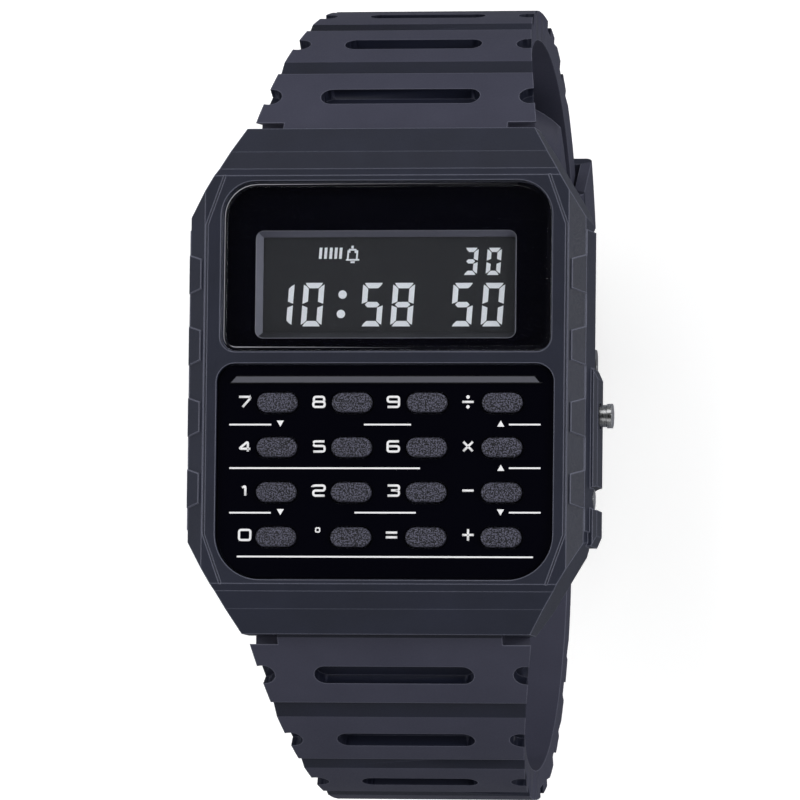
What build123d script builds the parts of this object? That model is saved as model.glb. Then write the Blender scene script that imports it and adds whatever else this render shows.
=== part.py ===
from build123d import *
import os
from math import asin, cos, degrees, radians, sin, sqrt

# The watch lies face up. +Z points out of the face, +Y to twelve o'clock and +X to three o'clock.
# The origin is the middle of the case back, where the watch meets the wrist. Depths count down
# from the bezel plane. All sizes are in millimetres, and all angles in degrees.

# Head as seen from above
HEAD_LENGTH = 43.2  # from one strap lip to the other
HEAD_WIDTH = 34.8  # over the side cladding
HEAD_THICKNESS = 8.2  # from the case back to the bezel plane
HOOD_INSET = 5.0  # from the cladding to the end of a strap lip
CORNER_RUN = 8.4  # length of each slanted corner along the watch
SIDE_CORNER_RADIUS = 3.0
BEZEL_INSET = 1.75

# Head as seen from its sides
BEVEL_DROP = 1.0
BEVEL_FOOT_INSET = 0.4
WALL_WAIST_DEPTH = 4.6
WALL_BASE_INSET = 0.9
CLADDING_PROUD = 0.2
CLADDING_TOP_DEPTH = 1.15
CLADDING_BASE_DEPTH = 5.9
CLADDING_END_INSET = 0.4
STEP_RUN = 0.6
STEP_DROP = 0.45
SHALLOW_SLOPE_RUN = 1.5
SHALLOW_SLOPE_DROP = 0.3
STEEP_SLOPE_RUN = 2.1
LIP_TOP_DEPTH = 1.9
LIP_BASE_DEPTH = 2.8
EAR_HEEL_DEPTH = 5.6
EAR_HEEL_RUN = 2.0
TAB_END_ROOM = 1.2
TAB_LENGTH = 2.5
TAB_FLANK = 0.4
TAB_REACH = 1.05
TAB_PLACES = (1.5, 0.5, -0.5, -1.5)
TAB_SHIFT = -0.15
TRIM_LINE_WIDTH = 0.16
TRIM_LINE_DEPTH = 0.14
TRIM_LINE_INSET = 0.1
TRIM_CORNER_INSET = 1.5

# Windows in the bezel and the room under it
DISPLAY_FRAME_RIM = 1.4  # bezel beside the display's recess
DISPLAY_RECESS_LOW = 2.35
DISPLAY_END_RIM = 0.45
DISPLAY_RECESS_RADII = (1.3, 3.0)
DISPLAY_LEDGE_DEPTH = 1.55
DISPLAY_LEDGE_SIDE = 1.9
DISPLAY_LEDGE_LOW = 0.55
DISPLAY_LEDGE_HIGH = 2.45
DISPLAY_HOLE_RADIUS = 0.8
KEYPAD_FRAME_RIM = 1.15
KEYPAD_END_RIM = 0.35
KEYPAD_RECESS_HIGH = 1.36
KEYPAD_RECESS_RADII = (3.9, 1.6)
KEYPAD_LEDGE_DEPTH = 1.3
KEYPAD_LEDGE_SIDE = 1.2
KEYPAD_LEDGE_LOW = 1.3
KEYPAD_LEDGE_HIGH = 1.16
KEYPAD_HOLE_RADIUS = 2.6
CEILING_DEPTH = 2.4
SIDE_WALL = 3.0
END_WALL = 1.95
CAVITY_CORNER = 5.5

# Fits
SEAT_GAP = 0.05
PANE_GAP = 0.15
RUNNING_FIT = 0.05
OVERRUN = 1.0

# Window, panel and keys
WINDOW_SINK = 0.3
WINDOW_CHAMFER = 0.35
WINDOW_CHAMFER_DROP = 0.25
PANEL_SINK = 0.45
PANEL_RIDGE_INSET = 1.1
PANEL_RIDGE_WIDTH = 0.55
PANEL_RIDGE_HEIGHT = 0.25
PANEL_RIDGE_DROP = 1.38
KEY_COLUMNS = 4
KEY_ROWS = 4
KEY_LEFT_ROOM = 4.04  # from the hole's edges to the outer keys' middles
KEY_RIGHT_ROOM = 3.24
KEY_TOP_ROOM = 2.18
KEY_LOW_ROOM = 2.325
KEY_LENGTH = 3.46
KEY_WIDTH = 1.66
KEY_SINK = 0.02
KEY_EDGE_ROUND = 0.22
KEY_GAP = 0.12
KEY_FLANGE_PROUD = 0.45
KEY_FLANGE_THICKNESS = 0.4
KEY_TRAVEL = 0.55
KEY_NAMES = (
    ("key_7", "key_8", "key_9", "key_divide"),
    ("key_4", "key_5", "key_6", "key_multiply"),
    ("key_1", "key_2", "key_3", "key_minus"),
    ("key_0", "key_point", "key_equals", "key_plus"),
)

# Display stack
APERTURE_SIDE = 0.95
APERTURE_LOW_RIM = 0.65
APERTURE_HIGH_RIM = 1.7
APERTURE_BEVEL = 0.55
DISPLAY_FRAME_THICKNESS = 0.6
DISPLAY_PLAY = 0.15
LCD_THICKNESS = 0.8
ZEBRA_END_ROOM = 3.35
ZEBRA_WIDTH = 1.1
ZEBRA_DROP = 1.05

# Module inside
MODULE_PLAY = 0.2
MODULE_WALL = 0.5
MODULE_BASE_DEPTH = 7.0
SHELF_THICKNESS = 0.8
SHELF_GAP = 0.5
SHELF_WINDOW_SIDE = 1.75
SHELF_WINDOW_LOW_RIM = 1.3
SHELF_WINDOW_HIGH_RIM = 2.1
MODULE_ARM_WIDTH = 1.8
MODULE_ARM_Y = 4.6
SWITCH_GAP_LENGTH = 3.4
SWITCH_GAP_HEIGHT = 3.0
BOARD_THICKNESS = 0.6
BOARD_DEPTH = 4.05
BOARD_SIDE_GAP = 1.1
BOARD_END_GAP = 0.3
BOARD_CORNER = 3.6
MEMBRANE_THICKNESS = 0.65
MEMBRANE_OVERLAP = 1.7
MEMBRANE_TOP_RADIUS = 0.4
DOME_FOOT_RADIUS = 0.6
DOME_TOP_RADIUS = 0.45
BATTERY_DIAMETER = 20.0
BATTERY_THICKNESS = 1.6
BATTERY_END_GAP = 1.7
BATTERY_RIM = 1.2
BATTERY_STEP = 0.2
CUP_WALL = 0.6
CUP_PLAY = 0.2
CLIP_WIDTH = 7.0
CLIP_THICKNESS = 0.2
CLIP_HOLE_RADIUS = 1.4
SHEET_THICKNESS = 0.1
SHEET_PLAY = 0.6
CHIP_RADIUS = 2.5
CHIP_HEIGHT = 0.9
CHIP_ROUND = 0.7
CHIP_X = 1.5
CHIP_Y = 10.4
CRYSTAL_DIAMETER = 1.5
CRYSTAL_LENGTH = 5.0
CRYSTAL_X = 7.6
CRYSTAL_Y = 10.4
BUZZER_RADIUS = 9.5
BUZZER_THICKNESS = 0.2
BUZZER_X = -1.5
BUZZER_Y = 3.6
CONTACT_X = -6.6
CONTACT_Y = 10.4
CONTACT_RADIUS = 0.75
CONTACT_TURNS = 3

# Case back
BACK_THICKNESS = 0.8
BACK_SIDE_INSET = 1.5
BACK_END_GAP = 0.25  # from the back to the strap's pocket
BACK_CORNER_RUN = 5.0
BACK_CORNER_INSET = 1.9
BACK_CHAMFER = 0.25
GASKET_INSET = 0.15
GASKET_WIDTH = 0.5
GASKET_HEIGHT = 0.5
SCREW_SIDE_INSET = 2.6
SCREW_END_INSET = 2.0
SCREW_HEAD_RADIUS = 0.95
SCREW_HEAD_HEIGHT = 0.45
SCREW_SHAFT_RADIUS = 0.48
SCREW_REACH = 3.3
SCREW_SLOT_WIDTH = 0.28
SCREW_SLOT_DEPTH = 0.2

# Side pushers
PUSHER_DEPTH = 5.0
MODE_Y = -2.8
MODE_CAP_RADIUS = 1.05
MODE_COLLAR_LENGTH = 0.45
MODE_COLLAR_STEP = 0.1
MODE_PROUD = 1.5
MODE_TRAVEL = 0.8
ADJUST_Y = -9.9
ADJUST_CAP_RADIUS = 0.85
ADJUST_PROUD = 0.0
ADJUST_TRAVEL = 0.45
PUSHER_SHAFT_RADIUS = 0.5
PUSHER_SEAT_INSET = 1.7
PUSHER_TIP_REACH = 0.55
PUSHER_BORE_GAP = 0.1
SEAL_INSET = 0.55
SEAL_LENGTH = 0.4
SEAL_SECTION = 0.35
SEAL_ROOM = 0.05
PUSHER_CLIP_THICKNESS = 0.22
PUSHER_CLIP_WIDTH = 0.5
PUSHER_CLIP_GAP = 0.1
PUSHER_CLIP_MOUTH = 0.6
SPRING_WIRE_RADIUS = 0.08
SPRING_WIRE_SIDES = 6
SPRING_END_GAP = 0.04
SPRING_SOLID_LENGTH = 0.5
MODE_SPRING_TURNS = 2
ADJUST_SPRING_TURNS = 2
GUARD_PROUD = 0.45
GUARD_HIGH_Y = 0.25
GUARD_LOW_Y = -13.1
GUARD_CHAMFER = 0.9
GUARD_TOP_DEPTH = 2.9
GUARD_BASE_DEPTH = 6.9
GUARD_BEVEL = 0.35
SCOOP_RADIUS = 1.0

# Strap loop: a wide arc from the head to the side, then a tighter one under the wrist
LOOP_HALF_WIDTH = 34.9
SIDE_ARC_RADIUS = 36.0
BASE_ARC_RADIUS = 28.0
STRAP_THICKNESS = 2.6
STRAP_START_GAP = 0.2  # the outer arc starts this far beyond the lip
STRAP_START_DEPTH = 4.12
STRAP_WEB_RUN = 2.2
STRAP_LIP_INSET = 0.15
STRAP_WIDTH = 17.6
TAPER_END_DEPTH = 34.2
EAR_WIDTH = 2.5
TONGUE_GAP = 0.2
SHOULDER_GAP = 0.75
SHOULDER_STEP_DEPTH = 6.0  # below this the strap reaches in under the ears
SHOULDER_REACH = 0.05
TAIL_LIFT = 4.9  # height of the tail over the buckle half, under the wrist
TAIL_END_ANGLE = 110.0
TAIL_TIP_LENGTH = 5.0

# Strap relief
FIRST_SLOT_RUN = 4.2  # along the strap
ROW_PITCH = 8.92
SIDE_ROWS = 3
BUCKLE_BASE_ROWS = 2
TAIL_BASE_ROWS = 3
BUCKLE_BASE_ANGLE = 100.0
TAIL_BASE_ANGLE = 102.0
SLOT_LENGTHS = (13.8, 12.0, 10.2)
SLOT_WIDTH = 2.0
SLOT_DEPTH = 1.1
GROOVE_DEPTH = 0.6
GROOVE_RUN = 1.95
GROOVE_OFFSET = 3.46
NOTCH_RADIUS = 1.05
NOTCH_DEPTH = 0.9
NOTCH_INSET = 0.25
HOLE_LENGTH = 2.6
HOLE_WIDTH = 1.9
HOLE_PITCH = 6.2
TAIL_HOLES = 4
FLAT_HOLES = 4

# Spring bars
HINGE_INSET = 2.3
HINGE_DEPTH = 5.0
BARREL_RADIUS = 1.75
BARREL_GAP = 0.3
BAR_RADIUS = 0.75
BAR_TIP_RADIUS = 0.45
BAR_TIP_REACH = 1.2
BAR_END_GAP = 0.1

# Buckle
PIN_RUN = 1.4  # flat strap between the arc and the pin
PIN_HEIGHT = 1.5
PIN_RADIUS = 0.6
PIN_INSET = 0.3
STRAP_END_RADIUS = 1.4
BUCKLE_SINK = 0.2  # the frame reaches this far below the strap
FRAME_SIDE_GAP = 0.1
FRAME_ARM = 1.5
FRAME_HEIGHT = 2.4
FRAME_BAR = 2.1
FRAME_REACH = 11.8  # from the pin to the frame's far side
FRAME_LUG = 1.5
FRAME_CORNER = 2.2
FRAME_EDGE_ROUND = 0.3
NOTCH_HALF = 0.95
PRONG_WIDTH = 1.6
PRONG_THICKNESS = 1.0
PRONG_LIFT = 0.15
PRONG_EYE_RADIUS = 1.25
PRONG_REACH = 11.4
PRONG_NOSE = 0.5
PRONG_SIDE_GAP = 0.25
PRONG_MOUTH_REACH = 3.6  # room for the prong when it is turned right back
NOTCH_ROOM = 0.2

# Keeper
KEEPER_START_ANGLE = 145.5
KEEPER_END_ANGLE = 158.0
KEEPER_WALL = 1.0
KEEPER_INNER_GAP = 0.25
KEEPER_ROOM = 2.1
KEEPER_SIDE_GAP = 0.25
KEEPER_SIDE_WALL = 1.0
KEEPER_CORNER = 0.6

# Places worked out from the sizes above
FACE_Z = HEAD_THICKNESS
HOOD_END_Y = HEAD_LENGTH / 2
HOOD_WIDTH = HEAD_WIDTH - 2 * HOOD_INSET
STRAIGHT_LENGTH = HEAD_LENGTH - 2 * CORNER_RUN
CLADDING_LENGTH = STRAIGHT_LENGTH - 2 * CLADDING_END_INSET
TAB_PITCH = (CLADDING_LENGTH - TAB_END_ROOM) / len(TAB_PLACES)
BEZEL_WIDTH = HEAD_WIDTH - 2 * BEZEL_INSET
BEZEL_LENGTH = HEAD_LENGTH - 2 * (STEP_RUN + SHALLOW_SLOPE_RUN + STEEP_SLOPE_RUN)
BEVEL_FOOT_WIDTH = HEAD_WIDTH - 2 * BEVEL_FOOT_INSET
WALL_BASE_WIDTH = HEAD_WIDTH - 2 * WALL_BASE_INSET
HINGE_Y = HOOD_END_Y - HINGE_INSET
POCKET_Y = HINGE_Y - BARREL_RADIUS - BARREL_GAP
CAVITY_WIDTH = HEAD_WIDTH - 2 * SIDE_WALL
CAVITY_LENGTH = 2 * (POCKET_Y - END_WALL)
DISPLAY_RECESS_HALF = BEZEL_WIDTH / 2 - DISPLAY_FRAME_RIM
DISPLAY_RECESS_HIGH = BEZEL_LENGTH / 2 - DISPLAY_END_RIM
DISPLAY_HOLE_HALF = DISPLAY_RECESS_HALF - DISPLAY_LEDGE_SIDE
DISPLAY_HOLE_LOW = DISPLAY_RECESS_LOW + DISPLAY_LEDGE_LOW
DISPLAY_HOLE_HIGH = DISPLAY_RECESS_HIGH - DISPLAY_LEDGE_HIGH
KEYPAD_RECESS_HALF = BEZEL_WIDTH / 2 - KEYPAD_FRAME_RIM
KEYPAD_RECESS_LOW = KEYPAD_END_RIM - BEZEL_LENGTH / 2
KEYPAD_HOLE_HALF = KEYPAD_RECESS_HALF - KEYPAD_LEDGE_SIDE
KEYPAD_HOLE_LOW = KEYPAD_RECESS_LOW + KEYPAD_LEDGE_LOW
KEYPAD_HOLE_HIGH = KEYPAD_RECESS_HIGH - KEYPAD_LEDGE_HIGH
PANEL_RIDGE_LENGTH = 2 * (KEYPAD_RECESS_HALF - PANEL_RIDGE_INSET)
PANEL_RIDGE_Y = KEYPAD_RECESS_HIGH - PANEL_RIDGE_DROP
FIRST_KEY_X = KEY_LEFT_ROOM - KEYPAD_HOLE_HALF
FIRST_KEY_Y = KEYPAD_HOLE_HIGH - KEY_TOP_ROOM
KEY_PITCH_X = (KEYPAD_HOLE_HALF - KEY_RIGHT_ROOM - FIRST_KEY_X) / (KEY_COLUMNS - 1)
KEY_PITCH_Y = (FIRST_KEY_Y - KEYPAD_HOLE_LOW - KEY_LOW_ROOM) / (KEY_ROWS - 1)
APERTURE_WIDTH = 2 * (DISPLAY_HOLE_HALF - APERTURE_SIDE)
APERTURE_LOW = DISPLAY_HOLE_LOW + APERTURE_LOW_RIM
APERTURE_HIGH = DISPLAY_HOLE_HIGH - APERTURE_HIGH_RIM
ZEBRA_LENGTH = 2 * (DISPLAY_HOLE_HALF - ZEBRA_END_ROOM)
ZEBRA_Y = DISPLAY_HOLE_HIGH - ZEBRA_DROP
MEMBRANE_HIGH = KEYPAD_HOLE_HIGH + MEMBRANE_OVERLAP
SHELF_LOW = MEMBRANE_HIGH + SHELF_GAP
SHELF_WINDOW_HALF = DISPLAY_HOLE_HALF - SHELF_WINDOW_SIDE
SHELF_WINDOW_LOW = DISPLAY_HOLE_LOW + SHELF_WINDOW_LOW_RIM
SHELF_WINDOW_HIGH = DISPLAY_HOLE_HIGH - SHELF_WINDOW_HIGH_RIM
BOARD_HALF_WIDTH = CAVITY_WIDTH / 2 - MODULE_PLAY - MODULE_WALL - BOARD_SIDE_GAP
BOARD_HALF_LENGTH = CAVITY_LENGTH / 2 - MODULE_PLAY - MODULE_WALL - BOARD_END_GAP
BATTERY_Y = BATTERY_END_GAP + BATTERY_DIAMETER / 2 - CAVITY_LENGTH / 2
BACK_WIDTH = HEAD_WIDTH - 2 * BACK_SIDE_INSET
BACK_LENGTH = 2 * (POCKET_Y - BACK_END_GAP)
BACK_STRAIGHT_LENGTH = BACK_LENGTH - 2 * BACK_CORNER_RUN
BACK_END_WIDTH = BACK_WIDTH - 2 * BACK_CORNER_INSET
SCREW_X = BACK_WIDTH / 2 - SCREW_SIDE_INSET
SCREW_Y = BACK_LENGTH / 2 - SCREW_END_INSET
MODE_END_X = HEAD_WIDTH / 2 + MODE_PROUD
ADJUST_END_X = HEAD_WIDTH / 2 + ADJUST_PROUD
PUSHER_SEAT_X = HEAD_WIDTH / 2 - PUSHER_SEAT_INSET
PUSHER_TIP_X = CAVITY_WIDTH / 2 - PUSHER_TIP_REACH
SEAL_X = CAVITY_WIDTH / 2 + SEAL_INSET
TONGUE_HALF = HOOD_WIDTH / 2 - EAR_WIDTH - TONGUE_GAP
STRAP_WIDTH_AT_HEAD = HOOD_WIDTH - 2 * STRAP_LIP_INSET
SIDE_ARC_Y = LOOP_HALF_WIDTH - SIDE_ARC_RADIUS
START_REACH = HOOD_END_Y + STRAP_START_GAP - SIDE_ARC_Y
STRAP_START_ANGLE = degrees(asin(START_REACH / SIDE_ARC_RADIUS))
LOOP_Z = FACE_Z - STRAP_START_DEPTH - sqrt(SIDE_ARC_RADIUS**2 - START_REACH**2)
FRAME_WIDTH = STRAP_WIDTH + 2 * (FRAME_SIDE_GAP + FRAME_ARM)
BASE_ARC_Y = LOOP_HALF_WIDTH - BASE_ARC_RADIUS
PIN_Y = BASE_ARC_Y - PIN_RUN
FRAME_END_Y = PIN_Y - FRAME_REACH
PRONG_END_Y = PIN_Y - PRONG_REACH
STRAP_LOW_Z = LOOP_Z - BASE_ARC_RADIUS
FLOOR_Z = STRAP_LOW_Z - BUCKLE_SINK
HINGE_Z = FACE_Z - HINGE_DEPTH
PUSHER_Z = FACE_Z - PUSHER_DEPTH
PIN_Z = FLOOR_Z + PIN_HEIGHT
MODE_BACK_X = PUSHER_SEAT_X + SPRING_SOLID_LENGTH + MODE_TRAVEL
ADJUST_BACK_X = PUSHER_SEAT_X + SPRING_SOLID_LENGTH + ADJUST_TRAVEL
DOME_TOP_DEPTH = KEYPAD_LEDGE_DEPTH + KEY_FLANGE_THICKNESS + KEY_TRAVEL + 2 * SEAT_GAP
LCD_TOP_DEPTH = DISPLAY_LEDGE_DEPTH + DISPLAY_FRAME_THICKNESS + 2 * SEAT_GAP
SHELF_TOP_DEPTH = LCD_TOP_DEPTH + LCD_THICKNESS + SEAT_GAP
BATTERY_TOP_DEPTH = BOARD_DEPTH + BOARD_THICKNESS + 2 * SEAT_GAP
CLIP_TOP_DEPTH = BATTERY_TOP_DEPTH + BATTERY_THICKNESS + SEAT_GAP
SHEET_TOP_DEPTH = CLIP_TOP_DEPTH + CLIP_THICKNESS + SEAT_GAP
TAIL_ARC_RADIUS = BASE_ARC_RADIUS - TAIL_LIFT
TAIL_ARC_Y = LOOP_HALF_WIDTH - TAIL_ARC_RADIUS


def upright(outline, low, high):
    """Prism between two heights, from an outline in X and Y."""
    return extrude(Plane.XY.offset(low) * outline, amount=high - low, dir=(0, 0, 1))


def crosswise(outline, half):
    """Prism across the watch, from an outline in Y and Z."""
    return extrude(Plane.YZ * outline, amount=half, both=True)


def lengthwise(outline, half):
    """Prism along the watch, from an outline in X and Z."""
    return extrude(Plane.XZ * outline, amount=half, both=True)


def layer(outline, top_depth, thickness):
    """Flat piece inside the head, placed by the depth of its upper face."""
    return upright(outline, FACE_Z - top_depth - thickness, FACE_Z - top_depth)


def mirrored(points):
    """Outline points of one side, followed by their mirror images in reverse order."""
    return points + [(-x, y) for x, y in reversed(points)]


def octagon(half_width, half_length, straight_half, end_half):
    """Outline with four slanted corners."""
    quarter = [(end_half, half_length), (half_width, straight_half)]
    side = quarter + [(x, -y) for x, y in reversed(quarter)]
    return Polygon(*mirrored(side), align=None)


def pane(half, low, high, radii):
    """Upright panel outline with one radius for its lower corners and one for its upper ones."""
    sheet = Pos(0, (low + high) / 2) * Rectangle(2 * half, high - low)
    sheet = fillet(sheet.vertices().group_by(Axis.Y)[0], radii[0])
    return fillet(sheet.vertices().group_by(Axis.Y)[-1], radii[1])


def rod(x_from, x_to, y, z, radius):
    """Round bar along X."""
    return Plane.YZ.offset(x_from) * Pos(y, z) * extrude(Circle(radius), amount=x_to - x_from)


def cavity_outline(inset):
    """The room for the module, drawn in by an inset all round."""
    return RectangleRounded(CAVITY_WIDTH - 2 * inset, CAVITY_LENGTH - 2 * inset, CAVITY_CORNER - inset)


def head_side_profile():
    """The head from its side, in Y and Z: bezel, step, two slopes, lip and ear heel."""
    bezel = BEZEL_LENGTH / 2
    slope_start = bezel + STEP_RUN
    crest = slope_start + SHALLOW_SLOPE_RUN
    half = [
        (bezel, FACE_Z),
        (slope_start, FACE_Z - STEP_DROP),
        (crest, FACE_Z - STEP_DROP - SHALLOW_SLOPE_DROP),
        (HOOD_END_Y, FACE_Z - LIP_TOP_DEPTH),
        (HOOD_END_Y, FACE_Z - EAR_HEEL_DEPTH),
        (HOOD_END_Y - EAR_HEEL_RUN, BACK_THICKNESS),
    ]
    return Polygon(*mirrored(half), align=None)


def head_end_profile():
    """The head from its end, in X and Z: bezel, bevels, waist and foot."""
    half = [
        (BEZEL_WIDTH / 2, FACE_Z),
        (BEVEL_FOOT_WIDTH / 2, FACE_Z - BEVEL_DROP),
        (HEAD_WIDTH / 2 - CLADDING_PROUD, FACE_Z - WALL_WAIST_DEPTH),
        (WALL_BASE_WIDTH / 2, BACK_THICKNESS),
    ]
    return Polygon(*mirrored(half), align=None)


def head_block():
    """The head's outer form, before anything is cut into it."""
    outline = octagon(HEAD_WIDTH / 2, HOOD_END_Y, STRAIGHT_LENGTH / 2, HOOD_WIDTH / 2)
    outline = fillet(outline.vertices().group_by(SortBy.DISTANCE)[0], SIDE_CORNER_RADIUS)
    block = upright(outline, BACK_THICKNESS, FACE_Z)
    block = block & crosswise(head_side_profile(), HEAD_WIDTH)
    return block & lengthwise(head_end_profile(), HEAD_LENGTH)


def cladding():
    """Proud lower walls with slanted tabs that climb the bevels."""
    foot = BEVEL_FOOT_WIDTH / 2
    waist = HEAD_WIDTH / 2
    top = FACE_Z - CLADDING_TOP_DEPTH
    wall = Polygon(
        (foot - TAB_REACH, top),
        (foot + CLADDING_PROUD / 2, top),
        (waist, FACE_Z - WALL_WAIST_DEPTH),
        (waist - CLADDING_PROUD, FACE_Z - CLADDING_BASE_DEPTH),
        (foot - TAB_REACH, FACE_Z - CLADDING_BASE_DEPTH),
        align=None,
    )
    walls = lengthwise(wall, CLADDING_LENGTH / 2)
    slope = BEVEL_DROP / (foot - BEZEL_WIDTH / 2)
    band_top = FACE_Z - BEVEL_DROP + TAB_REACH * slope
    band = Polygon(
        (foot - TAB_REACH, band_top + CLADDING_PROUD),
        (foot + CLADDING_PROUD / 2, FACE_Z - BEVEL_DROP + CLADDING_PROUD / 2),
        (foot + CLADDING_PROUD / 2, top - OVERRUN),
        (foot - TAB_REACH, top - OVERRUN),
        align=None,
    )
    climb = lengthwise(band, CLADDING_LENGTH / 2)
    tab = Polygon(
        (foot + OVERRUN, -TAB_LENGTH / 2 - TAB_FLANK),
        (foot + CLADDING_PROUD / 2, -TAB_LENGTH / 2 - TAB_FLANK),
        (foot - TAB_REACH, -TAB_LENGTH / 2),
        (foot - TAB_REACH, TAB_LENGTH / 2),
        (foot + CLADDING_PROUD / 2, TAB_LENGTH / 2 + TAB_FLANK),
        (foot + OVERRUN, TAB_LENGTH / 2 + TAB_FLANK),
        align=None,
    )
    spots = [Pos(0, TAB_SHIFT + place * TAB_PITCH) for place in TAB_PLACES]
    tabs = upright(Sketch() + [spot * tab for spot in spots], BACK_THICKNESS, FACE_Z)
    side = walls + (climb & tabs)
    return side + mirror(side, Plane.YZ)


def guard():
    """Proud guard around the two pushers, with slanted ends."""
    outer = HEAD_WIDTH / 2 + GUARD_PROUD
    inner = BEVEL_FOOT_WIDTH / 2 - TAB_REACH
    outline = Polygon(
        (inner, GUARD_HIGH_Y + GUARD_CHAMFER),
        (outer - GUARD_PROUD, GUARD_HIGH_Y + GUARD_CHAMFER),
        (outer, GUARD_HIGH_Y),
        (outer, GUARD_LOW_Y),
        (outer - GUARD_PROUD, GUARD_LOW_Y - GUARD_CHAMFER),
        (inner, GUARD_LOW_Y - GUARD_CHAMFER),
        align=None,
    )
    block = upright(outline, FACE_Z - GUARD_BASE_DEPTH, FACE_Z - GUARD_TOP_DEPTH)
    outer_edges = block.faces().sort_by(Axis.X)[-1].edges().filter_by(Axis.Y)
    block = chamfer(outer_edges, GUARD_BEVEL)
    scoop = Pos(outer, ADJUST_Y) * Circle(SCOOP_RADIUS)
    return block - upright(scoop, BACK_THICKNESS, FACE_Z)


def trim_line():
    """Fine groove along the bezel's long edges."""
    half = BEZEL_WIDTH / 2 - TRIM_LINE_INSET
    end = BEZEL_LENGTH / 2
    straight = STRAIGHT_LENGTH / 2

    def ring(inset):
        return octagon(half - inset, end, straight, half - TRIM_CORNER_INSET - inset)

    return upright(ring(0) - ring(TRIM_LINE_WIDTH), FACE_Z - TRIM_LINE_DEPTH, FACE_Z)


def hinge_pocket():
    """Room under one hood for the strap's end."""
    half = TONGUE_HALF + TONGUE_GAP
    outline = Polygon(
        (-half, POCKET_Y), (half, POCKET_Y), (half, HEAD_LENGTH), (-half, HEAD_LENGTH), align=None
    )
    return upright(outline, 0, FACE_Z - LIP_BASE_DEPTH)


def spring_bar_sockets():
    """Blind holes in the ears of one hood for the spring bar's tips."""
    reach = TONGUE_HALF + TONGUE_GAP + BAR_TIP_REACH + BAR_END_GAP
    return rod(-reach, reach, HINGE_Y, HINGE_Z, BAR_TIP_RADIUS + RUNNING_FIT)


def pusher_bore(y, cap_radius):
    """Stepped hole through the side wall for one pusher, with its seal groove."""
    shaft = rod(0, PUSHER_SEAT_X, y, PUSHER_Z, PUSHER_SHAFT_RADIUS + RUNNING_FIT)
    cap = rod(PUSHER_SEAT_X, HEAD_WIDTH, y, PUSHER_Z, cap_radius + PUSHER_BORE_GAP)
    seal_radius = PUSHER_SHAFT_RADIUS + SEAL_SECTION + SEAL_ROOM
    seal = rod(SEAL_X - SEAL_ROOM, SEAL_X + SEAL_LENGTH + SEAL_ROOM, y, PUSHER_Z, seal_radius)
    clip_radius = PUSHER_SHAFT_RADIUS + PUSHER_CLIP_WIDTH + PUSHER_BORE_GAP
    clip_room = rod(BOARD_HALF_WIDTH, CAVITY_WIDTH / 2, y, PUSHER_Z, clip_radius)
    return shaft + cap + seal + clip_room


def at_screws(shape):
    """A shape repeated at the four corners of the case back where its screws go."""
    return [place * shape for place in GridLocations(2 * SCREW_X, 2 * SCREW_Y, 2, 2)]


def gasket_ring(play):
    """Outline of the groove for the case back's gasket, or of the gasket with some play in it."""
    return cavity_outline(play - GASKET_INSET - GASKET_WIDTH) - cavity_outline(-GASKET_INSET - play)


def case():
    """The moulded case."""
    body = head_block() + cladding() + guard() - trim_line()
    display = pane(DISPLAY_RECESS_HALF, DISPLAY_RECESS_LOW, DISPLAY_RECESS_HIGH, DISPLAY_RECESS_RADII)
    body -= layer(display, 0, DISPLAY_LEDGE_DEPTH)
    keypad = pane(KEYPAD_RECESS_HALF, KEYPAD_RECESS_LOW, KEYPAD_RECESS_HIGH, KEYPAD_RECESS_RADII)
    body -= layer(keypad, 0, KEYPAD_LEDGE_DEPTH)
    radii = (DISPLAY_HOLE_RADIUS, DISPLAY_HOLE_RADIUS)
    hole = pane(DISPLAY_HOLE_HALF, DISPLAY_HOLE_LOW, DISPLAY_HOLE_HIGH, radii)
    body -= layer(hole, 0, SHELF_TOP_DEPTH)
    radii = (KEYPAD_HOLE_RADIUS, DISPLAY_HOLE_RADIUS)
    hole = pane(KEYPAD_HOLE_HALF, KEYPAD_HOLE_LOW, KEYPAD_HOLE_HIGH, radii)
    body -= layer(hole, 0, CEILING_DEPTH)
    body -= upright(cavity_outline(0), 0, FACE_Z - CEILING_DEPTH)
    pocket = hinge_pocket() + spring_bar_sockets()
    body -= pocket
    body -= mirror(pocket, Plane.XZ)
    body -= pusher_bore(MODE_Y, MODE_CAP_RADIUS)
    body -= pusher_bore(ADJUST_Y, ADJUST_CAP_RADIUS)
    body -= upright(gasket_ring(0), BACK_THICKNESS, BACK_THICKNESS + GASKET_HEIGHT)
    return body - at_screws(upright(Circle(SCREW_SHAFT_RADIUS), 0, SCREW_REACH))


def display_window():
    """Glass over the display, with a bevelled rim."""
    half = DISPLAY_RECESS_HALF - PANE_GAP
    low = DISPLAY_RECESS_LOW + PANE_GAP
    high = DISPLAY_RECESS_HIGH - PANE_GAP
    radii = (DISPLAY_RECESS_RADII[0] - PANE_GAP, DISPLAY_RECESS_RADII[1] - PANE_GAP)
    glass = layer(pane(half, low, high, radii), WINDOW_SINK, DISPLAY_LEDGE_DEPTH - SEAT_GAP - WINDOW_SINK)
    rim = glass.faces().sort_by(Axis.Z)[-1].edges()
    return chamfer(rim, WINDOW_CHAMFER_DROP, WINDOW_CHAMFER)


def display_outline(play):
    """Outline of what fills the display's hole, with some play all round."""
    radii = (DISPLAY_HOLE_RADIUS, DISPLAY_HOLE_RADIUS)
    return pane(DISPLAY_HOLE_HALF - play, DISPLAY_HOLE_LOW + play, DISPLAY_HOLE_HIGH - play, radii)


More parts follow.
